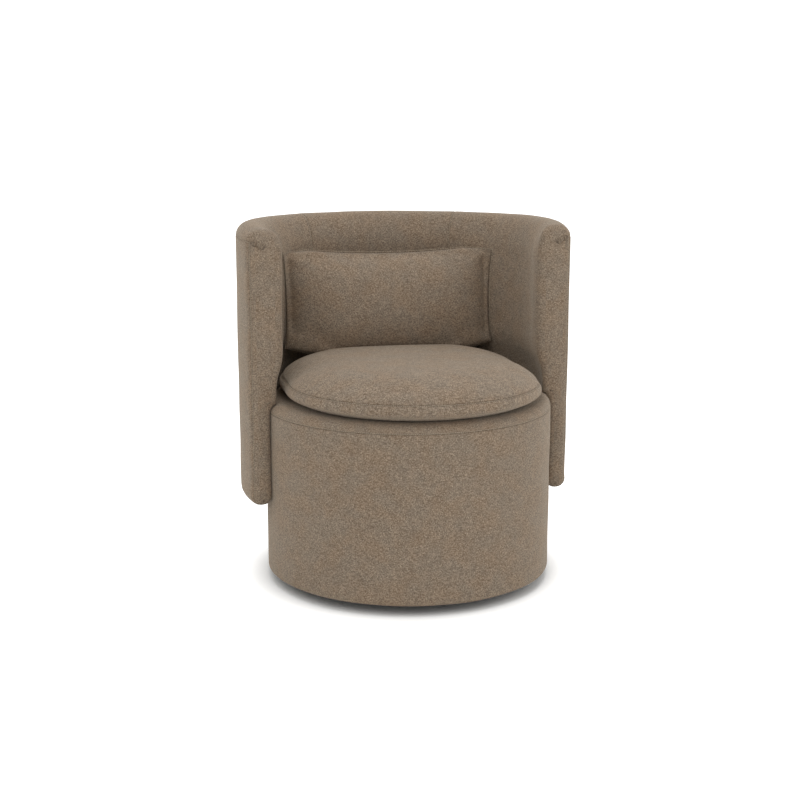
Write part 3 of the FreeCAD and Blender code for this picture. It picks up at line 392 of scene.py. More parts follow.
ZIP_METAL = Metal("dark_plated_zinc", "#5C564D", "#433E37", 0.34)
BLACK_NYLON = Moulded("moulded_black_nylon", "#1B1B1B", "#2A2A29")
ZIP_TAPE = PlainCloth("woven_polyester_zip_tape", "#6B5F52", "#7A6E60", 0.9 * MM)
ZIP_COIL = Moulded("polyester_zip_coil", "#74675A", "#857868", 0.4)
# The thread is paler than the cloth partly as painted highlight: its light line along each seam stands in for
# the lit lip of the crease.
THREAD = Moulded("spun_polyester_thread", "#BBAB94", "#CCBDA6", 0.75)

NODE_FINISHES: dict[Finish, tuple[str, ...]] = {
    BLACK_NYLON: ("floor_glides", "ball_cage"),
    BLACK_PLY: ("plinth",),
    ZINC_STEEL: (
        "swivel_lower_plate",
        "lower_plate_screws",
        "swivel_rivet",
        "swivel_upper_plate",
        "upper_plate_bolts",
        "upper_plate_nuts",
        "back_bolts",
        "back_bolt_washers",
        "back_tee_nuts",
    ),
    SPRING_STEEL: ("bearing_balls", "deck_springs", "spring_clips"),
    PLYWOOD: ("drum_bottom_panel", "drum_top_ring", "back_bottom_rail", "back_ledge_rail", "back_top_rail"),
    SOFTWOOD: ("drum_posts", "back_mounting_blocks", "back_posts"),
    BENT_BOARD: ("drum_skin", "back_inner_panel", "back_outer_panel"),
    ZIP_METAL: ("cushion_zip_slider",),
}


@dataclass
class Panel:
    """A grid of points with their places on the flat cloth, as one cut piece of it.

    Attributes:
        points: Rows by columns by 3, in metres.
        flat: Rows by columns by 2, in metres on the cloth.
        seam: Rows by columns, 1 in the bottom of a seam and 0 away from it.
    """

    points: np.ndarray
    flat: np.ndarray
    seam: np.ndarray

    @classmethod
    def laid(cls, points: np.ndarray, seam: np.ndarray | None = None) -> "Panel":
        """Lays a grid of points flat by the lengths of its rows and columns.

        Args:
            points: Rows by columns by 3.
            seam: Seam depth of each point, or None for no seam.

        Returns:
            The panel, with its middle column and first row as the cloth's own axes.
        """
        across = np.linalg.norm(np.diff(points, axis=1), axis=2)
        along = np.linalg.norm(np.diff(points, axis=0), axis=2)
        u = np.concatenate([np.zeros((len(points), 1)), np.cumsum(across, axis=1)], axis=1)
        u -= u[:, [points.shape[1] // 2]]
        v = np.concatenate([np.zeros((1, points.shape[1])), np.cumsum(along, axis=0)], axis=0)
        v = np.repeat(v.mean(axis=1, keepdims=True), points.shape[1], axis=1)
        return cls(points, np.stack([u, v], axis=2), np.zeros(points.shape[:2]) if seam is None else seam)


def sewn(name: str, panels: list[Panel], gap: float = 0.02 * MM) -> bpy.types.Object:
    """Makes one mesh of several panels that meet at their edges.

    Args:
        name: Name of the piece.
        panels: The panels; where their points coincide they become one.
        gap: Distance within which points are merged.

    Returns:
        The new object, with a flat map and a seam attribute, its faces pointing outwards.
    """
    mesh = bmesh.new()
    flat = mesh.loops.layers.uv.new(CLOTH_MAP)
    depth = mesh.verts.layers.float.new(SEAM_DEPTH)
    for panel in panels:
        rows, columns = panel.points.shape[:2]
        verts = [[mesh.verts.new(panel.points[r, c]) for c in range(columns)] for r in range(rows)]
        for r in range(rows):
            for c in range(columns):
                verts[r][c][depth] = float(panel.seam[r, c])
        for r in range(rows - 1):
            for c in range(columns - 1):
                corners = [(r, c), (r, c + 1), (r + 1, c + 1), (r + 1, c)]
                face = mesh.faces.new([verts[i][j] for i, j in corners])
                face.smooth = True
                for loop, (i, j) in zip(face.loops, corners):
                    loop[flat].uv = panel.flat[i, j]
    bmesh.ops.remove_doubles(mesh, verts=mesh.verts, dist=gap)
    bmesh.ops.dissolve_degenerate(mesh, edges=mesh.edges, dist=gap)
    bmesh.ops.recalc_face_normals(mesh, faces=mesh.faces)
    data = bpy.data.meshes.new(name)
    mesh.to_mesh(data)
    mesh.free()
    piece = bpy.data.objects.new(name, data)
    bpy.context.scene.collection.objects.link(piece)
    return piece


def finished(piece: bpy.types.Object) -> bpy.types.Object:
    """Applies a piece's modifiers, so that only a plain mesh is left.

    Args:
        piece: Object with live modifiers.

    Returns:
        The same object with its evaluated mesh and no modifier.
    """
    graph = bpy.context.evaluated_depsgraph_get()
    mesh = bpy.data.meshes.new_from_object(piece.evaluated_get(graph))
    mesh.name = piece.name
    old = piece.data
    piece.modifiers.clear()
    piece.data = mesh
    bpy.data.meshes.remove(old)
    return piece


def thickened(piece: bpy.types.Object, thickness: float) -> bpy.types.Object:
    """Gives an open cloth piece its thickness, inwards from the face that shows."""
    solidify = piece.modifiers.new("thickness", "SOLIDIFY")
    solidify.thickness = thickness
    solidify.offset = -1.0
    solidify.use_even_offset = False
    return finished(piece)


def rippled(points: np.ndarray, outwards: np.ndarray, size: float, height: float, seed: float) -> np.ndarray:
    """Moves points in and out by a smooth noise, as cloth over wadding lies a little uneven.

    Args:
        points: Any number of points by 3.
        outwards: Unit direction of each point.
        size: Width of one swell.
        height: Most that a point moves.
        seed: Shift of the noise.

    Returns:
        The moved points.
    """
    spots = points.reshape(-1, 3) / size + seed
    swell = np.array([noise.noise(Vector(spot)) for spot in spots]).reshape(points.shape[:-1] + (1,))
    return points + outwards * swell * height


def creased(distance: np.ndarray, width: float) -> np.ndarray:
    """Depth of a seam by the distance from it: 1 in its bottom, fading out over its width."""
    return np.exp(-((np.abs(distance) / width) ** 1.5))


def graded(start: float, end: float, step: float, fine: tuple[bool, bool] = (True, True)) -> np.ndarray:
    """Stations from start to end, even in the middle and close together beside a seam.

    Args:
        start: First station.
        end: Last station.
        step: Spacing in the middle.
        fine: Whether the start and the end lie in a seam.

    Returns:
        The stations in order.
    """
    near = np.array([0.0, 0.12, 0.3, 0.6, 1.0, 1.5]) * step
    low = start + near if fine[0] else np.array([start])
    high = end - near[::-1] if fine[1] else np.array([end])
    count = max(2, round((high[0] - low[-1]) / step))
    return np.concatenate([low, np.linspace(low[-1], high[0], count + 1)[1:-1], high])


@dataclass
class StitchRun:
    """A row of stitches along a line, made by Geometry Nodes.

    Attributes:
        length: Length of one stitch.
        pitch: Distance from one stitch to the next.
        diameter: Diameter of the thread.
    """

    length: float = 3.4 * MM
    pitch: float = 4.0 * MM
    diameter: float = 0.75 * MM

    def tree(self) -> bpy.types.NodeTree:
        """Builds the node tree that sews along a curve.

        Returns:
            A tree with the inputs Pitch, Length, Diameter and Thread.
        """
        found = bpy.data.node_groups.get("sew_along_line")
        if found:
            return found
        tree = bpy.data.node_groups.new("sew_along_line", "GeometryNodeTree")
        sockets = {"Line": "Geometry", "Pitch": "Float", "Length": "Float", "Diameter": "Float"}
        for name, kind in sockets.items():
            tree.interface.new_socket(name, in_out="INPUT", socket_type=f"NodeSocket{kind}")
        tree.interface.new_socket("Thread", in_out="INPUT", socket_type="NodeSocketMaterial")
        tree.interface.new_socket("Stitches", in_out="OUTPUT", socket_type="NodeSocketGeometry")
        given = add(tree, "NodeGroupInput").outputs
        curve = add(tree, "GeometryNodeMeshToCurve", None, {0: given["Line"]}).outputs[0]
        inputs = {"Curve": curve, "Length": given["Pitch"]}
        spots = add(tree, "GeometryNodeCurveToPoints", {"mode": "LENGTH"}, inputs).outputs
        inputs = {"Segments": 6, "Rings": 5, "Radius": 0.5}
        stitch = add(tree, "GeometryNodeMeshUVSphere", None, inputs).outputs[0]
        inputs = {0: given["Diameter"], 1: given["Diameter"], 2: given["Length"]}
        size = add(tree, "ShaderNodeCombineXYZ", None, inputs)
        inputs = {"Geometry": stitch, "Scale": size.outputs[0]}
        drawn = add(tree, "GeometryNodeTransform", None, inputs).outputs[0]
        inputs = {"Points": spots["Points"], "Instance": drawn, "Rotation": spots["Rotation"]}
        placed = add(tree, "GeometryNodeInstanceOnPoints", None, inputs).outputs[0]
        real = add(tree, "GeometryNodeRealizeInstances", None, {"Geometry": placed}).outputs[0]
        smooth = add(tree, "GeometryNodeSetShadeSmooth", None, {"Geometry": real}).outputs[0]
        inputs = {"Geometry": smooth, "Material": given["Thread"]}
        dressed = add(tree, "GeometryNodeSetMaterial", None, inputs).outputs[0]
        add(tree, "NodeGroupOutput", None, {0: dressed})
        return tree

    def sew(self, name: str, lines: list[np.ndarray], thread: Finish) -> bpy.types.Object:
        """Sews along some lines and returns the stitches as a plain mesh.

        Args:
            name: Name of the piece.
            lines: Points along each line, in metres; a line that ends where it starts is closed.
            thread: Finish of the thread.

        Returns:
            The new object, not yet on a body.
        """
        verts: list[tuple[float, ...]] = []
        edges: list[tuple[int, int]] = []
        for line in lines:
            edges += [(len(verts) + k, len(verts) + k + 1) for k in range(len(line) - 1)]
            verts += [tuple(point) for point in line]
        mesh = bpy.data.meshes.new(name)
        mesh.from_pydata(verts, edges, [])
        piece = bpy.data.objects.new(name, mesh)
        bpy.context.scene.collection.objects.link(piece)
        modifier = piece.modifiers.new("stitches", "NODES")
        modifier.node_group = self.tree()
        sizes = {"Pitch": self.pitch, "Length": self.length, "Diameter": self.diameter}
        fill_inputs(modifier, {**sizes, "Thread": thread.material()})
        return finished(piece)


def fill_inputs(modifier: bpy.types.NodesModifier, values: dict[str, object]) -> None:
    """Sets a Geometry Nodes modifier's inputs by the names of its tree's sockets."""
    for item in modifier.node_group.interface.items_tree:
        if item.item_type == "SOCKET" and item.in_out == "INPUT" and item.name in values:
            modifier[item.identifier] = values[item.name]


def worn_by(
    piece: bpy.types.Object, body: str, finish: Finish, nodes: tuple[str, ...] = ()
) -> None:
    """Dresses a finished piece, puts it on its body and hides the CAD nodes it stands for.

    Args:
        piece: Finished piece, in place.
        body: Name of the CAD body it moves with.
        finish: Finish of the piece.
        nodes: CAD nodes that it replaces.
    """
    finish.dress(piece)
    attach(piece, body)
    if nodes:
        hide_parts(*nodes)
    log.info("%s: %d faces on %s", piece.name, len(piece.data.polygons), body)


@dataclass
class Drum:
    """Upholstery of the drum: a padded side cover, a deck cover over the shoulder, and the dust cloth."""

    radius: float = 305 * MM
    bottom: float = 22 * MM
    deck: float = 392 * MM
    shoulder: float = 20 * MM
    hem: float = 16 * MM
    bottom_edge: float = 4 * MM
    wadding: float = 4 * MM
    crease: float = 1.0 * MM
    crease_width: float = 1.7 * MM
    columns: int = 300
    dust_radius: float = 286 * MM
    dust_hole: float = 151.5 * MM
    dust_height: float = 34.4 * MM
    dust_thickness: float = 0.7 * MM

    @property
    def seam_height(self) -> float:
        """Height of the seam between the side cover and the deck cover."""
        return self.deck - self.shoulder

    def lathed(self, outline: np.ndarray, outwards: np.ndarray, seam: np.ndarray, uneven: float) -> Panel:
        """Turns an outline round the swivel axis into a cloth panel.

        Args:
            outline: Radius and height of each point, bottom to top.
            outwards: Unit direction of each point, as radius and height.
            seam: Seam depth of each point.
            uneven: How far the cloth lies in and out.

        Returns:
            The panel, closed at the back.
        """
        turn = np.linspace(0, 2 * math.pi, self.columns + 1) + math.pi / 2
        ring = np.stack([np.cos(turn), np.sin(turn)], axis=1)
        points = np.stack([outline[:, :1] * ring[:, 0], outline[:, :1] * ring[:, 1]], axis=2)
        points = np.concatenate([points, np.repeat(outline[:, 1:, None], len(turn), axis=1)], axis=2)
        away = np.stack([outwards[:, :1] * ring[:, 0], outwards[:, :1] * ring[:, 1]], axis=2)
        away = np.concatenate([away, np.repeat(outwards[:, 1:, None], len(turn), axis=1)], axis=2)
        depth = np.repeat(seam[:, None], len(turn), axis=1)
        points = points - away * (depth * self.crease)[..., None]
        points = rippled(points, away * (1 - depth)[..., None], 70 * MM, uneven, 3.0)
        points[:, -1] = points[:, 0]
        panel = Panel.laid(points, depth)
        panel.flat[..., 0] = (turn[None, :] - 1.5 * math.pi) * self.radius
        return panel

    def side_cover(self) -> bpy.types.Object:
        """Side cover from its hem under the drum up to the seam below the shoulder."""
        low = self.bottom + self.bottom_edge
        bend = np.radians(np.linspace(-90, 0, 6))
        rolled = [(self.radius - self.bottom_edge + self.bottom_edge * c, low + self.bottom_edge * s)
                  for c, s in zip(np.cos(bend), np.sin(bend))]
        heights = graded(low, self.seam_height, 8 * MM, (False, True))[1:]
        hem = [(self.radius - self.hem, self.bottom), (self.radius - 10 * MM, self.bottom)]
        outline = np.array([*hem, *rolled, *((self.radius, z) for z in heights)])
        sides = [(1, 0) for _ in heights]
        outwards = np.array([(0, -1), (0, -1), *zip(np.cos(bend), np.sin(bend)), *sides], float)
        seam = creased(self.seam_height - outline[:, 1], self.crease_width)
        piece = sewn("drum_side_upholstery", [self.lathed(outline, outwards, seam, 0.8 * MM)])
        return thickened(piece, self.wadding)

    def deck_cover(self) -> bpy.types.Object:
        """Deck cover from the seam over the round shoulder to the middle of the deck."""
        flat = self.radius - self.shoulder
        bend = np.radians([0, 1.5, 4, 8, 14, 22, 32, 43, 55, 67, 79, 90])
        rolled = [(flat + self.shoulder * c, self.seam_height + self.shoulder * s)
                  for c, s in zip(np.cos(bend), np.sin(bend))]
        inwards = np.linspace(flat, 0, 26)[1:]
        outline = np.array([*rolled, *((r, self.deck) for r in inwards)])
        outwards = np.array([*zip(np.cos(bend), np.sin(bend)), *((0, 1) for _ in inwards)], float)
        seam = creased(outline[:, 1] - self.seam_height, self.crease_width)
        seam[len(rolled):] = 0
        panel = self.lathed(outline, outwards, seam, 0.6 * MM)
        panel.points[-1] = (0, 0, self.deck)
        panel.flat = panel.points[..., :2].copy()
        panel.flat[: len(rolled)] *= (1 + np.linspace(0.11, 0, len(rolled)))[:, None, None]
        piece = sewn("drum_deck_upholstery", [panel])
        return thickened(piece, self.wadding)

    def stitches(self) -> bpy.types.Object:
        """Row of stitches that lies in the seam round the drum's top."""
        turn = np.linspace(0, 2 * math.pi, 241) + math.pi / 2
        reach = self.radius - 0.35 * MM
        height = self.seam_height + 1.2 * MM
        line = np.stack([reach * np.cos(turn), reach * np.sin(turn), np.full(241, height)], axis=1)
        return StitchRun().sew("drum_seam_stitches", [line], THREAD)

    def dust_cloth(self) -> bpy.types.Object:
        """Thin black cloth under the drum, cut out square round the swivel plate and sagging a little."""
        turns = np.linspace(0, 2 * math.pi, 97) + math.pi / 4
        rings = []
        for share in np.linspace(0, 1, 9):
            ring = []
            for turn in turns:
                c, s = math.cos(turn), math.sin(turn)
                inner = self.dust_hole / max(abs(c), abs(s))
                reach = inner + (self.dust_radius - inner) * share
                sag = 0.9 * MM * math.sin(math.pi * share) ** 2
                ring.append((reach * c, reach * s, self.dust_height - sag))
            rings.append(ring)
        piece = sewn("drum_dust_cloth", [Panel.laid(np.array(rings))])
        return thickened(piece, self.dust_thickness * 0.5)

    def build(self) -> None:
        """Builds the drum's cloth pieces and puts them on the seat body."""
        side = self.side_cover()
        worn_by(side, "seat", CHAIR_CLOTH, ("drum_cover", "drum_padding"))
        deck = self.deck_cover()
        worn_by(deck, "seat", CHAIR_CLOTH, ("deck_cover", "deck_foam", "spring_pad"))
        worn_by(self.stitches(), "seat", THREAD)
        dust = self.dust_cloth()
        worn_by(dust, "seat", DUST_CLOTH, ("dust_cover",))


class Rule(Enum):
    """What a row of the back's section keeps to, all the way round."""

    AXIS = "a radius round the back's axis"
    DRUM = "a distance from the swivel axis"
    MIDDLE = "halfway between the drum's side and the outer face"
    OVER = "the way over the drum's shoulder"
    TUCK = "the way up behind the cushion"


Row = tuple[Rule, float, float]


@dataclass
class BarrelBack:
    """Upholstery of the barrel back: outer cover, lining, and three inner panels of which two wrap the wings.

    The section is one closed outline, from its bottom up the inside, over the top and down the outside. It
    runs in flat rings through each wing's rounded end and then round the back's axis.
    """

    axis: float = 43 * MM
    outer: float = 356 * MM
    inner: float = 279 * MM
    tuck: float = 301.3 * MM
    bottom: float = 176 * MM
    top: float = 760 * MM
    front: float = -50 * MM
    bottom_roll: float = 19 * MM
    top_roll: float = 30 * MM
    crest_roll: float = 28 * MM
    slope_width: float = 40 * MM
    slope_drop: float = 80 * MM
    tuck_top: float = 410 * MM
    pad_full: float = 506 * MM
    wing_edge: float = 14 * MM
    drum: float = 305.4 * MM
    drum_flat: float = 285 * MM
    ledge: float = 372 * MM
    seam_turn: float = math.radians(34.8)
    top_seam: float = 734 * MM
    wing_seam: float = 45.0
    wing_soft: float = 13 * MM
    soft_reach: float = 46 * MM
    wing_dip: float = 9 * MM
    dip_reach: float = 150 * MM
    crown: float = 2.5 * MM
    wadding: float = 4 * MM
    crease: float = 1.3 * MM
    crease_width: float = 1.9 * MM
    uneven: float = 1.3 * MM
    swell: float = 95 * MM
    dart: float = 0.3
    dart_drop: float = 6 * MM
    step: float = 7 * MM

    def __post_init__(self) -> None:
        """Works out the rows of the section, inner and outer side in step."""
        low, high = self.bottom + self.bottom_roll, self.top - self.top_roll
        bends = np.radians([0, 18, 36, 54, 72])
        first = math.degrees(math.asin((self.top_seam - high) / self.top_roll))
        beside = [first - 3.6, first - 1.6, first, first + 1.6, first + 3.8]
        curls = np.radians([0, *beside, 19, 29, 40, 52, 64, 77, 90])
        wall = np.linspace(low, self.ledge, 18)
        over = np.linspace(0, 1, 7)[1:]
        tucked = np.linspace(0, 1, 4)[1:]
        pad = np.linspace(0, 1, 15)[1:]
        rest = np.linspace(self.pad_full, high, 1 + round((high - self.pad_full) / self.step))[1:-1]
        self.inside: list[Row] = [(Rule.MIDDLE, 0.0, self.bottom)]
        self.outside: list[Row] = [(Rule.MIDDLE, 0.0, self.bottom)]
        for bend in bends:
            z = low - self.bottom_roll * math.cos(bend)
            self.inside.append((Rule.DRUM, self.drum + self.bottom_roll * (1 - math.sin(bend)), z))
            self.outside.append((Rule.AXIS, self.outer - self.bottom_roll * (1 - math.sin(bend)), z))
        for z in wall:
            self.inside.append((Rule.DRUM, self.drum, z))
            self.outside.append((Rule.AXIS, self.outer, z))
        for share in over:
            self.inside.append((Rule.OVER, share, 0.0))
            self.outside.append((Rule.AXIS, self.outer, self.ledge + share * 19 * MM))
        self.tuck_row = len(self.inside) - 1
        for share in tucked:
            self.inside.append((Rule.TUCK, share, 0.0))
            self.outside.append((Rule.AXIS, self.outer, self.ledge + 19 * MM * (1 + share)))
        for share in pad:
            full = 2 * share**2 if share < 0.5 else 1 - 2 * (1 - share) ** 2
            z = self.tuck_top + share * (self.pad_full - self.tuck_top)
            self.inside.append((Rule.AXIS, self.tuck + full * (self.inner - self.tuck), z))
            self.outside.append((Rule.AXIS, self.outer, z))
        for z in rest:
            self.inside.append((Rule.AXIS, self.sloped(z), z))
            self.outside.append((Rule.AXIS, self.outer, z))
        self.seam_row = len(self.inside) + 3
        for curl in curls:
            z = high + self.top_roll * math.sin(curl)
            self.inside.append((Rule.AXIS, self.sloped(z), z))
            self.outside.append((Rule.AXIS, self.outer - self.top_roll * (1 - math.cos(curl)), z))
        crest = (self.inner + self.slope_width + self.outer - self.top_roll) / 2
        self.inside.append((Rule.AXIS, crest, self.top))
        self.peak = len(self.inside) - 1
        self.closed = 2 * self.peak
        self.rows = self.inside + self.outside[1:][::-1] + [self.inside[0]]

    def sloped(self, z: float) -> float:
        """Radius of the inner face at a height: upright, then leaning back in a long curve to the crest."""
        width, drop, crest = self.slope_width, self.slope_drop, self.crest_roll
        slope = (width**2 + drop**2 - 2 * drop * crest) / (2 * (width - crest))
        foot, centre = self.top - drop, self.top - crest
        meet = centre + crest * (centre - foot) / (slope - crest)
        if z <= foot:
            return self.inner
        if z < meet:
            return self.inner + slope - math.sqrt(slope**2 - (z - foot) ** 2)
        return self.inner + width - math.sqrt(max(0.0, crest**2 - (z - centre) ** 2))

    def over_shoulder(self, share: float, tuck_distance: float) -> tuple[float, float]:
        """Distance from the swivel axis and height on the way over the drum's shoulder to the tuck."""
        rise = self.drum - self.drum_flat
        bend = share * math.acos(min(1.0, max(-1.0, (tuck_distance - self.drum_flat) / rise)))
        return self.drum_flat + rise * math.cos(bend), self.ledge + rise * math.sin(bend)

    def in_plane(self, row: Row, y: float) -> tuple[float, float]:
        """Place of a row where it crosses an upright plane through a wing.

        Args:
            row: Rule, size and height of the row.
            y: The plane's distance from the swivel axis, frontwards negative.

        Returns:
            Distance sideways and height.
        """
        rule, size, z = row
        off = y - self.axis
        tuck_distance = math.hypot(math.sqrt(self.tuck**2 - off**2), y)
        if rule is Rule.AXIS:
            return math.sqrt(size**2 - off**2), z
        if rule is Rule.DRUM:
            return math.sqrt(size**2 - y**2), z
        if rule is Rule.MIDDLE:
            near = math.sqrt((self.drum + self.bottom_roll) ** 2 - y**2)
            return (near + math.sqrt((self.outer - self.bottom_roll) ** 2 - off**2)) / 2, z
        if rule is Rule.OVER:
            distance, height = self.over_shoulder(size, tuck_distance)
            return math.sqrt(distance**2 - y**2), height
        height = self.over_shoulder(1.0, tuck_distance)[1]
        return math.sqrt(self.tuck**2 - off**2), height + size * (self.tuck_top - height)

    def on_turn(self, row: Row, turn: float) -> tuple[float, float, float]:
        """Place of a row at a turn round the back's axis, from straight back.

        Args:
            row: Rule, size and height of the row.
            turn: Angle in radians.

        Returns:
            The point.
        """
        rule, size, z = row
        side, back = math.sin(turn), math.cos(turn)

        def reach(distance: float) -> float:
            """Radius round the back's axis at a distance from the swivel axis."""
            return math.sqrt(distance**2 - (self.axis * side) ** 2) - self.axis * back

        tuck_distance = math.hypot(self.tuck * side, self.axis + self.tuck * back)
        if rule is Rule.AXIS:
            radius = size
        elif rule is Rule.DRUM:
            radius = reach(size)
        elif rule is Rule.MIDDLE:
            radius = (reach(self.drum + self.bottom_roll) + self.outer - self.bottom_roll) / 2
        elif rule is Rule.OVER and tuck_distance >= self.drum:
            radius, z = reach(self.drum) + size * (self.tuck - reach(self.drum)), self.ledge
        elif rule is Rule.OVER:
            distance, z = self.over_shoulder(size, tuck_distance)
            radius = reach(distance)
        else:
            foot = self.ledge if tuck_distance >= self.drum else self.over_shoulder(1.0, tuck_distance)[1]
            radius, z = self.tuck, foot + size * (self.tuck_top - foot)
        return radius * side, self.axis + radius * back, z

    def shrunk(self, ring: np.ndarray, inset: float) -> np.ndarray:
        """Draws a closed sideways-and-height outline in by an inset, with softened corners.

        Args:
            ring: Points of the outline, the last one equal to the first.
            inset: Distance inwards.

        Returns:
            The smaller outline.
        """
        if inset <= 0:
            return ring
        loop = ring[:-1]
        along = np.roll(loop, -1, axis=0) - np.roll(loop, 1, axis=0)
        away = np.stack([along[:, 1], -along[:, 0]], axis=1)
        for _ in range(3):
            away = (np.roll(away, 1, axis=0) + 2 * away + np.roll(away, -1, axis=0)) / 4
        away /= np.linalg.norm(away, axis=1, keepdims=True)
        area = np.sum(loop[:, 0] * np.roll(loop[:, 1], -1) - np.roll(loop[:, 0], -1) * loop[:, 1])
        small = loop - away * inset * np.sign(area)
        return np.concatenate([small, small[:1]])

    def half_grid(self) -> np.ndarray:
        """Points of the right half, from the wing's front to the middle of the back.

        Returns:
            Closed rows by columns by 3.
        """
        columns = []
        for bend in np.radians(self.edge_bends):
            y = self.front + self.wing_edge * (1 - math.cos(bend))
            ring = np.array([self.in_plane(row, y) for row in self.rows])
            ring = self.shrunk(ring, self.wing_edge * (1 - math.sin(bend)))
            columns.append(np.stack([ring[:, 0], np.full(len(ring), y), ring[:, 1]], axis=1))
        starts = np.arctan2(columns[-1][:, 0], columns[-1][:, 1] - self.axis)
        for share in self.side_shares[1:]:
            turns = starts + share * (self.seam_turn - starts)
            columns.append(np.array([self.on_turn(row, turn) for row, turn in zip(self.rows, turns)]))
        for turn in self.centre_turns[1:]:
            columns.append(np.array([self.on_turn(row, turn) for row in self.rows]))
        points = np.stack(columns, axis=1)
        front = np.clip(1 - (points[..., 1] - self.front) / self.soft_reach, 0, 1) ** 2
        front[: self.tuck_row + 1] = 0
        front[self.peak :] = 0
        low = np.clip((self.top - 14 * MM - points[..., 2]) / (64 * MM), 0, 1)
        above = np.clip((points[..., 2] - self.tuck_top) / (self.pad_full - self.tuck_top), 0, 1)
        points[..., 0] += self.wing_soft * front * (low * above) ** 2 * (3 - 2 * low) * (3 - 2 * above)
        near = np.clip(1 - (points[..., 1] - self.front) / self.dip_reach, 0, 1) ** 2
        high = np.clip((points[..., 2] - self.pad_full) / (self.top - self.pad_full), 0, 1)
        points[..., 2] -= self.wing_dip * near * high**2
        return points

    def laid_out(self) -> None:
        """Works out the whole grid with its creases, its seam depths and its outward directions."""
        self.edge_bends = (0, 12, 24, 34, 40, self.wing_seam, 50, 56, 66, 78, 90)
        arc = 1.2 * self.outer
        self.side_shares = graded(0.0, 1.0, self.step / arc, (False, True))
        self.centre_turns = graded(self.seam_turn, 0.0, -self.step / self.outer, (True, False))
        half = self.half_grid()
        mirrored = half * np.array([-1.0, 1.0, 1.0])
        grid = np.concatenate([mirrored, half[:, -2::-1]], axis=1)
        self.last = grid.shape[1] - 1
        self.wing_column = self.edge_bends.index(self.wing_seam)
        self.edge_column = len(self.edge_bends) - 1
        self.panel_column = self.edge_column + len(self.side_shares) - 1
        self.top_row = self.closed - self.seam_row
        ahead = np.gradient(grid, axis=1)
        upward = np.concatenate([grid[1:], grid[1:2]]) - np.concatenate([grid[-2:-1], grid[:-1]])
        away = np.cross(ahead, upward)
        away /= np.maximum(np.linalg.norm(away, axis=2, keepdims=True), 1e-9)
        middle = grid.shape[1] // 2
        if away[self.closed - self.peak // 2, middle, 1] < 0:
            away = -away
        turn = np.arctan2(np.abs(grid[..., 0]), grid[..., 1] - self.axis)
        radius = np.hypot(grid[..., 0], grid[..., 1] - self.axis)
        depth = creased(radius * (turn - self.seam_turn), self.crease_width)
        depth[: self.tuck_row] = 0
        depth[self.top_row + 1 :] = 0
        top = creased(np.linalg.norm(grid - grid[[self.top_row]], axis=2), self.crease_width)
        top[: self.peak] = 0
        wing = np.zeros_like(depth)
        for seam in (self.wing_column, self.last - self.wing_column):
            away_from_seam = np.linalg.norm(grid - grid[:, [seam]], axis=2)
            wing = np.maximum(wing, creased(away_from_seam, self.crease_width))
        wing[: self.top_row] = 0
        wing[-1] = wing[0] = 0
        self.depth = np.maximum(np.maximum(depth, top), wing)
        quiet = 1 - self.depth
        quiet[: self.tuck_row] = 0
        quiet[-7:] = 0
        grid = grid - away * (self.depth * self.crease)[..., None]
        self.grid = rippled(grid, away * quiet[..., None], self.swell, self.uneven, 11.0)
        self.away = away

    def part(self, rows: slice, columns: slice) -> Panel:
        """Cuts one panel out of the grid."""
        return Panel.laid(self.grid[rows, columns], self.depth[rows, columns])

    def wing_face(self, column: int) -> Panel:
        """Flat front of a wing between its rounded edges, a little crowned, with the dart from the top seam.

        Args:
            column: Grid column of the wing's first ring.

        Returns:
            The panel, inner edge to outer edge.
        """
        shares = np.concatenate([np.linspace(0, 0.6, 5), np.linspace(0.66, 1, 7)])
        inner = self.grid[: self.peak + 1, column]
        outer = self.grid[self.closed : self.peak - 1 : -1, column]
        seam = self.depth[self.closed : self.peak - 1 : -1, column]
        points = inner[:, None] + (outer - inner)[:, None] * shares[None, :, None]
        bulge = np.sin(math.pi * shares)[None, :] ** 0.7
        width = np.clip(np.linalg.norm(outer - inner, axis=1) / (40 * MM), 0, 1)[:, None]
        points[..., 1] -= self.crown * bulge * width
        fade = np.clip((shares - (1 - self.dart)) / self.dart, 0, 1) ** 0.4
        away = np.linalg.norm(points - points[[self.seam_row]], axis=2)
        depth = creased(away, self.crease_width) * fade[None, :]
        bend = np.clip((1 - shares) / self.dart, 0, 1) ** 2 * np.clip(shares / 0.5, 0, 1) ** 2
        points[..., 2] -= self.dart_drop * bend[None, :] * np.exp(-((away / (24 * MM)) ** 2))
        depth[:, -1] = seam
        depth[:, 0] = self.depth[: self.peak + 1, column]
        points[:, 1:-1, 1] += depth[:, 1:-1] * self.crease * 0.5
        return Panel.laid(points, depth)

    def side_panel(self, name: str, left: bool) -> bpy.types.Object:
        """Inner panel of one side, which also wraps the wing's front, top and inner foot."""
        last, stop = self.last, self.closed + 1

        def span(first: int, end: int) -> slice:
            """Columns from first to end counted from this side's wing."""
            return slice(first, end + 1) if left else slice(last - end, last - first + 1)

        tuck, top, wing, edge = self.tuck_row, self.top_row, self.wing_column, self.edge_column
        panels = [
            self.part(slice(tuck, top + 1), span(0, self.panel_column)),
            self.part(slice(top, stop - 1), span(0, wing)),
            self.part(slice(0, tuck + 1), span(0, edge)),
            self.part(slice(stop - 2, stop), span(0, edge)),
            self.wing_face(0 if left else last),
        ]
        return thickened(sewn(name, panels), self.wadding)

    def seam_lines(self) -> list[np.ndarray]:
        """Lines in the bottoms of the seams that show, for the stitches."""
        raised = self.grid + self.away * 0.3 * MM
        wing, panel, last = self.wing_column, self.panel_column, self.last
        lines = [raised[self.top_row, wing : last - wing + 1]]
        lines += [raised[self.top_row :, column][:-2] for column in (wing, last - wing)]
        lines += [raised[self.tuck_row + 1 : self.top_row + 1, column] for column in (panel, last - panel)]
        return lines

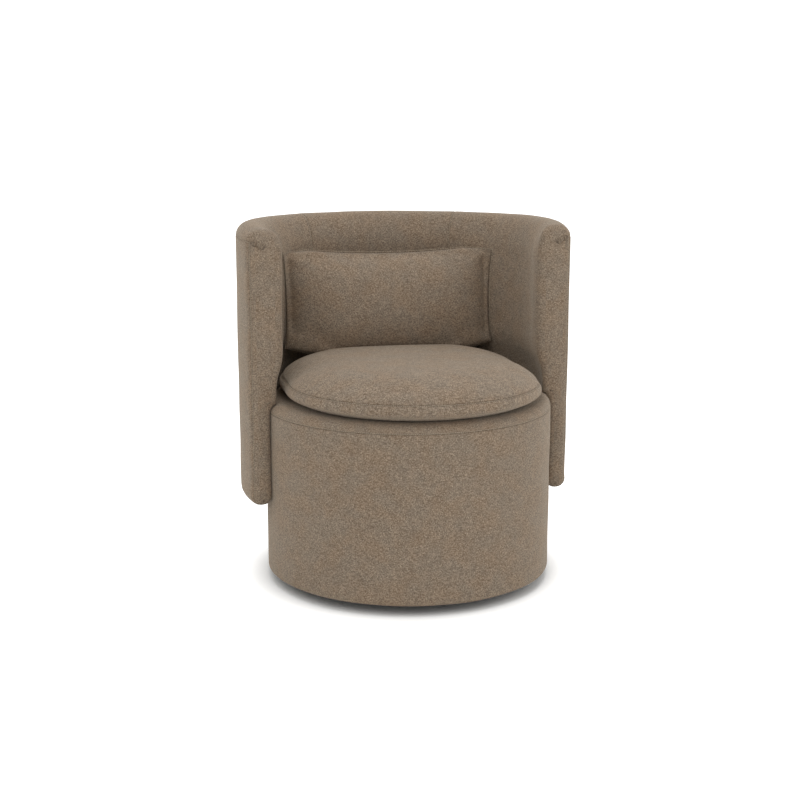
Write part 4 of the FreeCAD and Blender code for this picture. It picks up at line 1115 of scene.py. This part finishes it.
    def build(self) -> None:
        """Builds the back's cloth pieces and puts them on the seat body."""
        self.laid_out()
        stop, wing, panel = self.closed + 1, self.wing_column, self.panel_column
        outside = self.part(slice(self.top_row, stop - 1), slice(wing, self.last - wing + 1))
        outer = sewn("back_outer_upholstery", [outside])
        outer = thickened(outer, self.wadding)
        worn_by(outer, "seat", CHAIR_CLOTH, ("back_outer_cover", "back_outer_padding"))
        edge = self.edge_column
        across = slice(edge, self.last - edge + 1)
        under = [self.part(slice(stop - 2, stop), across), self.part(slice(0, self.tuck_row + 1), across)]
        lining = thickened(sewn("back_lining_cloth", under), self.wadding / 2)
        worn_by(lining, "seat", LINING, ("back_lining",))
        centre = [self.part(slice(self.tuck_row, self.top_row + 1), slice(panel, self.last - panel + 1))]
        middle = thickened(sewn("back_centre_upholstery", centre), self.wadding)
        hidden = ("inner_cover_centre", "back_inner_padding", "back_top_padding")
        worn_by(middle, "seat", CHAIR_CLOTH, hidden)
        left = self.side_panel("back_left_upholstery", True)
        worn_by(left, "seat", CHAIR_CLOTH, ("inner_cover_left", "wing_padding"))
        right = self.side_panel("back_right_upholstery", False)
        worn_by(right, "seat", CHAIR_CLOTH, ("inner_cover_right", "wing_padding"))
        stitches = StitchRun().sew("back_seam_stitches", self.seam_lines(), THREAD)
        worn_by(stitches, "seat", THREAD)


def along_arcs(
    start: tuple[float, float], heading: float, ends: list[tuple[float, float]], step: float
) -> np.ndarray:
    """Points along arcs that each start in the direction in which the last one ended.

    Args:
        start: First point.
        heading: Direction at the start, in radians.
        ends: End point of each arc.
        step: Spacing of the points.

    Returns:
        The points, the start and every end among them.
    """
    points = [start]
    for end in ends:
        chord = math.atan2(end[1] - start[1], end[0] - start[0])
        length = math.dist(start, end)
        swing = heading - chord
        count = max(2, round(length / step))
        for k in range(1, count + 1):
            part = k / count
            if abs(swing) < 1e-6:
                points.append((start[0] + part * (end[0] - start[0]), start[1] + part * (end[1] - start[1])))
                continue
            bent = length * math.sin(swing * part) / math.sin(swing)
            turn = heading - swing * part
            points.append((start[0] + bent * math.cos(turn), start[1] + bent * math.sin(turn)))
        heading = 2 * chord - heading
        start = end
    return np.array(points)


@dataclass
class Filling:
    """How a sewn case swells when it is filled, by Blender's cloth simulation.

    Attributes:
        pressure: Pressure inside the case.
        frames: Frames that the simulation runs.
        most: Farthest that a point may move.
        weight: Mass of each vertex.
    """

    pressure: float = 4.0
    frames: int = 20
    most: float = 8 * MM
    weight: float = 0.3

    def swell(self, name: str, grids: list[np.ndarray]) -> list[np.ndarray]:
        """Fills the case that some grids of points make where their edges meet.

        Args:
            name: Name used while it runs.
            grids: Each rows by columns by 3, in metres.

        Returns:
            The grids with their points moved.
        """
        flat = np.concatenate([grid.reshape(-1, 3) for grid in grids])
        cells = np.round(flat / (0.05 * MM)).astype(int)
        _, first, shared = np.unique(cells, axis=0, return_index=True, return_inverse=True)
        shared = shared.ravel()
        faces, start = [], 0
        for grid in grids:
            rows, columns = grid.shape[:2]
            index = shared[start : start + rows * columns].reshape(rows, columns)
            start += rows * columns
            for r in range(rows - 1):
                for c in range(columns - 1):
                    loop = [index[r, c], index[r, c + 1], index[r + 1, c + 1], index[r + 1, c]]
                    loop = [int(v) for k, v in enumerate(loop) if v != loop[k - 1]]
                    if len(set(loop)) > 2:
                        faces.append(loop)
        mesh = bpy.data.meshes.new(name)
        mesh.from_pydata(flat[first].tolist(), [], faces)
        repaired = bmesh.new()
        repaired.from_mesh(mesh)
        bmesh.ops.recalc_face_normals(repaired, faces=repaired.faces)
        repaired.to_mesh(mesh)
        repaired.free()
        case = bpy.data.objects.new(name, mesh)
        bpy.context.scene.collection.objects.link(case)
        cloth = case.modifiers.new("filling", "CLOTH")
        cloth.settings.quality = 6
        cloth.settings.mass = self.weight
        cloth.settings.use_pressure = True
        cloth.settings.uniform_pressure_force = self.pressure
        cloth.settings.effector_weights.gravity = 0
        cloth.settings.bending_stiffness = 0.6
        cloth.settings.air_damping = 3.0
        cloth.collision_settings.use_collision = False
        cloth.collision_settings.use_self_collision = False
        cloth.point_cache.frame_start = 1
        cloth.point_cache.frame_end = self.frames
        scene = bpy.context.scene
        for number in range(1, self.frames + 1):
            scene.frame_set(number)
        graph = bpy.context.evaluated_depsgraph_get()
        moved = np.array([v.co for v in case.evaluated_get(graph).data.vertices])
        rest = flat[first]
        shift = moved - rest
        length = np.linalg.norm(shift, axis=1, keepdims=True)
        moved = rest + shift * np.minimum(1, self.most / np.maximum(length, 1e-9))
        log.info("%s swelled by up to %.1f mm", name, 1000 * float(np.minimum(length, self.most).max()))
        scene.frame_set(1)
        bpy.data.objects.remove(case)
        bpy.data.meshes.remove(mesh)
        out, start = [], 0
        for grid in grids:
            size = grid.shape[0] * grid.shape[1]
            out.append(moved[shared[start : start + size]].reshape(grid.shape))
            start += size
        return out


def resampled(grid: np.ndarray, rows: np.ndarray) -> np.ndarray:
    """Reads a grid of points at new row stations, in metres along its columns' mean length."""
    lengths = np.linalg.norm(np.diff(grid, axis=0), axis=2).mean(axis=1)
    old = np.concatenate([[0.0], np.cumsum(lengths)])
    flat = grid.reshape(len(grid), -1)
    return np.stack([np.interp(rows, old, flat[:, k]) for k in range(flat.shape[1])], axis=1).reshape(
        len(rows), *grid.shape[1:]
    )


@dataclass
class SeatCushion:
    """Loose seat cushion: a domed top and a flat-based bottom, sewn together round its girth, with a zip."""

    radius: float = 277 * MM
    front: float = -49 * MM
    rear: float = 43 * MM
    bottom: float = 392.4 * MM
    girth: float = 427 * MM
    rise: float = 48 * MM
    power: float = 4.8
    stations: tuple[float, ...] = (0.54, 0.81, 0.95)
    edge_drop: float = 4 * MM
    side_height: float = 24 * MM
    side_inset: float = 9 * MM
    base_inset: float = 29 * MM
    slack: float = 3 * MM
    step: float = 9 * MM
    crease: float = 1.8 * MM
    crease_width: float = 2.2 * MM
    valley: float = 3.2 * MM
    valley_width: float = 9 * MM
    zip_low: float = 404 * MM
    zip_width: float = 10 * MM
    zip_turn: float = math.radians(50)
    tooth_pitch: float = 1.6 * MM
    dent: float = 10 * MM
    dent_y: float = 186 * MM

    def outline(self, inset: float, step: float) -> tuple[np.ndarray, np.ndarray]:
        """Half outlines of the top and the bottom, drawn in by an inset.

        Args:
            inset: Distance inwards.
            step: Spacing of the points.

        Returns:
            Reach and height from the crown to the seam, and from the seam to the middle of the base.
        """
        radius, rise = self.radius - inset, self.rise - inset
        points = [(radius * s, self.girth + rise * (1 - s**self.power)) for s in self.stations]
        points += [(radius, self.girth - self.edge_drop)]
        points += [(radius - self.side_inset, self.girth - self.side_height)]
        points += [(radius - self.base_inset, self.bottom + inset)]
        line = along_arcs((0.0, self.girth + rise), 0.0, points, step)
        split = int(np.argmax(line[:, 1] < self.girth))
        share = (line[split - 1, 1] - self.girth) / (line[split - 1, 1] - line[split, 1])
        seam = line[split - 1] + share * (line[split] - line[split - 1])
        base = np.linspace(radius - self.base_inset, 0, round((radius - self.base_inset) / step))[1:]
        low = np.stack([base, np.full(len(base), self.bottom + inset)], axis=1)
        return np.concatenate([line[:split], [seam]]), np.concatenate([[seam], line[split:], low])

    def spread(self, outline: np.ndarray) -> np.ndarray:
        """Carries a half outline round the cushion's plan, from the rear and back to it.

        Args:
            outline: Reach and height of each point.

        Returns:
            Rows by columns by 3.
        """
        turns = [*np.linspace(0, 90, 49), *np.linspace(90, 270, 97), *np.linspace(270, 360, 49)]
        centres = [self.rear] * 49 + [self.front] * 97 + [self.rear] * 49
        turns = np.radians(np.insert(np.insert(turns, 146, [270] * 9), 49, [90] * 9))
        middle = np.linspace(self.rear, self.front, 11)[1:-1]
        centres = np.array(centres[:49] + list(middle) + centres[49:146] + list(middle[::-1]) + centres[146:])
        x = outline[:, :1] * np.sin(turns)[None, :]
        y = outline[:, :1] * np.cos(turns)[None, :] + centres[None, :]
        return np.stack([x, y, np.repeat(outline[:, 1:], len(turns), axis=1)], axis=2)

    def limited(self, grid: np.ndarray) -> np.ndarray:
        """Keeps swollen points off the deck and inside the barrel, and presses the pillow's foot in."""
        grid = grid.copy()
        grid[..., 2] = np.maximum(grid[..., 2], self.bottom)
        centre = np.clip(grid[..., 1], self.front, self.rear)
        x, y = grid[..., 0], grid[..., 1] - centre
        reach = np.hypot(x, y)
        scale = np.minimum(1, (self.radius + 1 * MM) / np.maximum(reach, 1e-6))
        grid[..., 0], grid[..., 1] = x * scale, centre + y * scale
        press = np.exp(-(((grid[..., 1] - self.dent_y) / (30 * MM)) ** 2))
        press *= np.clip((225 * MM - np.abs(grid[..., 0])) / (50 * MM), 0, 1)
        press *= grid[..., 2] > self.girth + 15 * MM
        grid[..., 2] -= self.dent * press
        return grid

    def stations_beside_seam(self, length: float, seam_first: bool) -> np.ndarray:
        """Row stations along a half of the case, close together beside the seam."""
        near = np.array([0, 0.7, 1.5, 2.6, 4.2, 6.5]) * MM
        rest = np.linspace(near[-1], length, round((length - near[-1]) / (6 * MM)) + 1)[1:]
        rows = np.concatenate([near, rest])
        return rows if seam_first else length - rows[::-1]

    def zip_grid(self, half_width: float, lift: float) -> np.ndarray:
        """Band along the zip, a little proud of the rear wall.

        Args:
            half_width: Half of the band's height.
            lift: How far it stands out from the cloth.

        Returns:
            Two rows by columns by 3.
        """
        middle = self.zip_low + self.zip_width / 2
        share = (self.girth - self.edge_drop - middle) / (self.side_height - self.edge_drop)
        reach = self.radius - self.side_inset * share**1.5 + lift
        turns = np.linspace(-self.zip_turn, self.zip_turn, 121)
        rows = []
        for height in (-half_width, half_width):
            lean = self.side_inset / (self.side_height - self.edge_drop) * height * 1.1
            out = reach + lean
            rows.append([(out * math.sin(t), self.rear + out * math.cos(t), middle + height) for t in turns])
        return np.array(rows)

    def zip_teeth(self) -> bpy.types.Object:
        """Coil of the closed zip: two rows of small loops along the tape's middle, by Geometry Nodes."""
        grid = self.zip_grid(1.1 * MM, 0.9 * MM)
        coil = StitchRun(length=1.2 * MM, pitch=self.tooth_pitch, diameter=1.7 * MM)
        return coil.sew("cushion_zip_coil", [grid[0], grid[1]], ZIP_COIL)

    def build(self) -> None:
        """Builds the cushion's cloth pieces and puts them on the cushion body."""
        top, low = self.outline(self.slack, self.step)
        grids = [self.spread(top), self.spread(low)]
        puffed = Filling(pressure=4.0, most=5 * MM).swell("seat_cushion_case", grids)
        panels = []
        for grid, seam_first in zip(puffed, (False, True)):
            grid = self.limited(grid)
            lengths = np.linalg.norm(np.diff(grid, axis=0), axis=2).mean(axis=1)
            rows = self.stations_beside_seam(float(lengths.sum()), seam_first)
            fine = resampled(grid, rows)
            away = rows if seam_first else rows[-1] - rows
            depth = np.repeat(creased(away, self.crease_width)[:, None], fine.shape[1], axis=1)
            centre = np.clip(fine[..., 1], self.front, self.rear)
            out = np.stack([fine[..., 0], fine[..., 1] - centre, np.zeros(depth.shape)], axis=2)
            out /= np.maximum(np.linalg.norm(out, axis=2, keepdims=True), 1e-6)
            valley = np.exp(-((away / self.valley_width) ** 2))[:, None]
            fine = fine - out * (depth * self.crease + valley * self.valley)[..., None]
            pucker = np.exp(-away / (14 * MM))[:, None] * (1 - depth)
            fine = rippled(fine, out * pucker[..., None], 22 * MM, 1.1 * MM, 7.0)
            swell = np.zeros_like(fine)
            swell[..., 2] = np.clip(away / (40 * MM), 0, 1)[:, None] * (not seam_first)
            fine = rippled(fine, swell, 110 * MM, 1.6 * MM, 23.0)
            fine[:, -1] = fine[:, 0]
            panel = Panel.laid(fine, depth)
            travelled = rows[-1] - rows if seam_first else rows
            heads = out[-1 if not seam_first else 0]
            mids = centre[-1 if not seam_first else 0]
            starts = np.stack([0 * mids, mids], axis=1)
            panel.flat = heads[None, :, :2] * travelled[:, None, None] + starts[None]
            panels.append(panel)
        self.seam_line = panels[0].points[-1]
        case = sewn("seat_cushion", panels)
        smooth = case.modifiers.new("smooth", "SUBSURF")
        smooth.levels = smooth.render_levels = 1
        case = finished(case)
        hidden = ("cushion_core", "cushion_wrap", "cushion_top_cover", "cushion_bottom_cover")
        worn_by(case, "seat_cushion", SEAT_CLOTH, hidden)
        band = Panel.laid(self.zip_grid(self.zip_width / 2, 0.5 * MM))
        tape = thickened(sewn("cushion_zip_tape", [band]), 0.8 * MM)
        worn_by(tape, "seat_cushion", ZIP_TAPE, ("cushion_zip",))
        worn_by(self.zip_teeth(), "seat_cushion", ZIP_COIL)
        centre = np.clip(self.seam_line[:, 1], self.front, self.rear)
        out = np.stack([self.seam_line[:, 0], self.seam_line[:, 1] - centre, 0 * centre], axis=1)
        out /= np.linalg.norm(out, axis=1, keepdims=True)
        line = self.seam_line + out * 1.0 * MM
        stitches = StitchRun().sew("cushion_seam_stitches", [line], THREAD)
        worn_by(stitches, "seat_cushion", THREAD)


@dataclass
class LumbarPillow:
    """Loose rectangular pillow: two panels sewn together round a knife edge, leant against the back."""

    width: float = 480 * MM
    height: float = 223 * MM
    thickness: float = 125 * MM
    lean: float = math.radians(9)
    top_sag: float = 13 * MM
    corner_lift: float = 11 * MM
    foot_y: float = 177.8 * MM
    foot_z: float = 460 * MM
    barrel: float = 279 * MM
    barrel_y: float = 43 * MM
    clearance: float = 2.5 * MM
    step: float = 8 * MM
    crease: float = 2.0 * MM
    crease_width: float = 3.0 * MM

    def side(self, front: bool) -> np.ndarray:
        """Starting shape of one panel, in the pillow's own frame.

        Args:
            front: Whether it is the panel that faces forwards.

        Returns:
            Rows by columns by 3, bottom to top and left to right.
        """
        across = np.sin(np.linspace(-1, 1, round(self.width / self.step) + 1) * math.pi / 2 * 0.86)
        across /= across[-1]
        up = np.sin(np.linspace(-1, 1, round(self.height / self.step) + 1) * math.pi / 2 * 0.86)
        up = (1 + up / math.sin(0.43 * math.pi)) / 2
        u, v = np.meshgrid(across, up)
        low = self.corner_lift * np.abs(u) ** 6
        high = self.height - self.top_sag * (1 - u**2)
        upright = np.sqrt(np.clip(4 * v * (1 - v), 0, 1)) ** 0.9
        full = self.thickness * 0.47 * (1 - np.abs(u) ** 4) ** 0.5 * upright
        x = u * self.width / 2 * (1 - 0.03 * np.sin(math.pi * v))
        return np.stack([x, -full if front else full, low + (high - low) * v], axis=2)

    def placed(self, grid: np.ndarray) -> np.ndarray:
        """Leans a grid back and sets it on the cushion against the back."""
        c, s = math.cos(self.lean), math.sin(self.lean)
        x, y, z = grid[..., 0], grid[..., 1], grid[..., 2]
        return np.stack([x, self.foot_y + y * c + z * s, self.foot_z - y * s + z * c], axis=2)

    def kept_clear(self, grid: np.ndarray, under: BVHTree) -> np.ndarray:
        """Keeps the pillow off the barrel behind it and on top of the cushion under it.

        Args:
            grid: Points in place.
            under: Faces of the seat cushion.

        Returns:
            The grid with the points that went too far moved back.
        """
        grid = grid.copy()
        x, y = grid[..., 0], grid[..., 1] - self.barrel_y
        reach = np.sqrt(np.maximum((self.barrel - self.clearance) ** 2 - x**2, 0))
        grid[..., 1] = self.barrel_y + np.minimum(y, reach)
        for spot in grid.reshape(-1, 3):
            if spot[2] > 500 * MM:
                continue
            hit = under.ray_cast(Vector((spot[0], spot[1], 1.0)), Vector((0, 0, -1)))[0]
            if hit and spot[2] < hit.z + 0.8 * MM:
                spot[2] = hit.z + 0.8 * MM
        return grid

    def build(self) -> None:
        """Builds the pillow and puts it on its body."""
        case = bpy.data.objects["seat_cushion"]
        faces = [p.vertices for p in case.data.polygons]
        under = BVHTree.FromPolygons([v.co for v in case.data.vertices], faces)
        sides = [self.side(True), self.side(False)]
        grids = Filling(pressure=3.0, most=11 * MM).swell("lumbar_pillow_case", sides)
        panels = []
        for grid, front in zip(grids, (True, False)):
            rows, columns = grid.shape[:2]
            r, c = np.meshgrid(np.arange(rows), np.arange(columns), indexing="ij")
            edge = np.minimum(np.minimum(r, rows - 1 - r), np.minimum(c, columns - 1 - c)) * self.step
            depth = creased(edge.astype(float), self.crease_width)
            face = np.zeros_like(grid)
            face[..., 1] = -1 if front else 1
            pucker = np.exp(-edge / (26 * MM)) * np.clip(edge / (6 * MM), 0, 1)
            grid = rippled(grid, face * pucker[..., None], 20 * MM, 2.4 * MM, 31.0)
            grid = rippled(grid, face * np.clip(edge / (30 * MM), 0, 1)[..., None], 90 * MM, 3.0 * MM, 47.0)
            grid = self.kept_clear(self.placed(grid), under)
            panels.append(Panel.laid(grid, depth))
        pillow = sewn("lumbar_pillow", panels)
        smooth = pillow.modifiers.new("smooth", "SUBSURF")
        smooth.levels = smooth.render_levels = 2
        pillow = finished(pillow)
        hidden = ("pillow_insert", "pillow_front_cover", "pillow_rear_cover")
        worn_by(pillow, "lumbar_pillow", CHAIR_CLOTH, hidden)
        first = panels[0].points
        loop = np.concatenate([first[0], first[1:, -1], first[-1, -2::-1], first[-2::-1, 0]])
        stitches = StitchRun().sew("pillow_seam_stitches", [loop], THREAD)
        worn_by(stitches, "lumbar_pillow", THREAD)


@dataclass
class Studio:
    """White room with soft light and the photograph's camera."""

    camera_place: tuple[float, float, float] = (-0.6567, -2.7921, 0.9661)
    pitch: float = 0.202
    yaw: float = -0.225
    lens: float = 61.24
    sensor: float = 36.0
    floor_size: float = 9.0
    floor_colour: str = "#F4F4F2"
    floor_glow: float = 0.66
    room_light: float = 0.78

    def floor(self) -> None:
        """Pale floor that runs up into a backdrop, white to the camera apart from the soft shadow, which is
        partly cast and partly painted shadow where the glow fades near the chair.
        """
        half, back, height, radius = self.floor_size / 2, 3.2, 4.0, 1.2
        bend = np.radians(np.linspace(0, 90, 13))
        profile = [(-half, 0.0), *((back + radius * math.sin(b), radius * (1 - math.cos(b))) for b in bend)]
        profile.append((back + radius, height))
        grid = np.array([[(x, y, z) for x in (-half, half)] for y, z in profile])
        floor = sewn("studio_floor", [Panel.laid(grid)])
        material = bpy.data.materials.new("white_painted_floor")
        material.use_nodes = True
        tree = material.node_tree
        tree.nodes.clear()
        rays = add(tree, "ShaderNodeLightPath").outputs
        inputs = {0: rays["Is Camera Ray"], 1: rays["Is Glossy Ray"]}
        seen = add(tree, "ShaderNodeMath", {"operation": "MAXIMUM"}, inputs)
        inputs = {0: seen.outputs[0], 1: rays["Is Transmission Ray"]}
        seen = add(tree, "ShaderNodeMath", {"operation": "MAXIMUM"}, inputs)
        place = add(tree, "ShaderNodeTexCoord").outputs["Object"]
        uneven = add(tree, "ShaderNodeTexNoise", None, {"Vector": place, "Scale": 3.0, "Detail": 2.0})
        colour = mixed(tree, uneven.outputs["Fac"], self.floor_colour, "#FAFAF9")
        paint = add(tree, "ShaderNodeBsdfDiffuse", None, {"Color": colour})
        # Painted shadow: the floor's glow to the camera fades where ambient occlusion finds the chair close
        # by, so the floor round the base darkens beyond its cast shadow.
        near = add(tree, "ShaderNodeAmbientOcclusion", {"samples": 12}, {"Distance": 0.17}).outputs["AO"]
        inputs = {0: near, 1: 0.42, 2: 0.88, 4: self.floor_glow}
        strength = add(tree, "ShaderNodeMapRange", {"interpolation_type": "SMOOTHSTEP"}, inputs).outputs[0]
        glow = add(tree, "ShaderNodeEmission", None, {"Color": linear("#FFFFFF"), "Strength": strength})
        lit = add(tree, "ShaderNodeAddShader", None, {0: paint.outputs[0], 1: glow.outputs[0]})
        inputs = {0: seen.outputs[0], 1: paint.outputs[0], 2: lit.outputs[0]}
        shown = add(tree, "ShaderNodeMixShader", None, inputs)
        add(tree, "ShaderNodeOutputMaterial", None, {"Surface": shown.outputs[0]})
        floor.data.materials.append(material)

    def room(self) -> None:
        """World light: even and pale, and white where the camera sees it."""
        world = bpy.data.worlds.new("white_room")
        bpy.context.scene.world = world
        world.use_nodes = True
        tree = world.node_tree
        tree.nodes.clear()
        rays = add(tree, "ShaderNodeLightPath").outputs
        inputs = {0: rays["Is Camera Ray"], 3: self.room_light, 4: 1.0}
        strength = add(tree, "ShaderNodeMapRange", None, inputs)
        inputs = {"Color": linear("#FFFFFF"), "Strength": strength.outputs[0]}
        sky = add(tree, "ShaderNodeBackground", None, inputs)
        add(tree, "ShaderNodeOutputWorld", None, {"Surface": sky.outputs[0]})

    def lamp(self, name: str, place: Point, aim: Point, size: float, power: float) -> None:
        """Adds one large soft lamp.

        Args:
            name: Name of the lamp.
            place: Where it stands.
            aim: Point that it faces.
            size: Side of the lamp's square.
            power: Power in watts.
        """
        data = bpy.data.lights.new(name, "AREA")
        data.shape, data.size, data.energy = "SQUARE", size, power
        lamp = bpy.data.objects.new(name, data)
        lamp.location = place
        lamp.rotation_euler = (Vector(aim) - Vector(place)).to_track_quat("-Z", "Y").to_euler()
        bpy.context.scene.collection.objects.link(lamp)

    def camera(self) -> None:
        """Adds the camera that the photograph was taken from."""
        data = bpy.data.cameras.new("photo_camera")
        data.lens, data.sensor_width, data.sensor_fit = self.lens, self.sensor, "HORIZONTAL"
        camera = bpy.data.objects.new("photo_camera", data)
        camera.location = self.camera_place
        camera.rotation_euler = (math.pi / 2 - self.pitch, 0.0, self.yaw)
        bpy.context.scene.collection.objects.link(camera)
        bpy.context.scene.camera = camera

    def build(self) -> None:
        """Builds the room, its lamps and the camera."""
        bpy.context.scene.view_settings.view_transform = "Standard"
        self.floor()
        self.room()
        self.lamp("key_softbox", (-1.2, -2.4, 2.9), (0, 0, 0.4), 2.4, 29)
        self.lamp("fill_softbox", (2.6, -1.6, 1.8), (0, 0, 0.4), 2.0, 15)
        self.lamp("top_softbox", (0.2, 0.6, 3.2), (0, 0, 0.5), 2.2, 18)
        self.camera()


def main() -> None:
    """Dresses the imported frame, builds every soft piece and sets the studio up."""
    logging.basicConfig(level=logging.INFO, format="%(name)s: %(message)s")
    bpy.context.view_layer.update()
    for finish, names in NODE_FINISHES.items():
        for name in names:
            finish.dress(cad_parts[name])
    Studio().build()
    Drum().build()
    BarrelBack().build()
    SeatCushion().build()
    LumbarPillow().build()


if __name__ == "__main__":
    main()
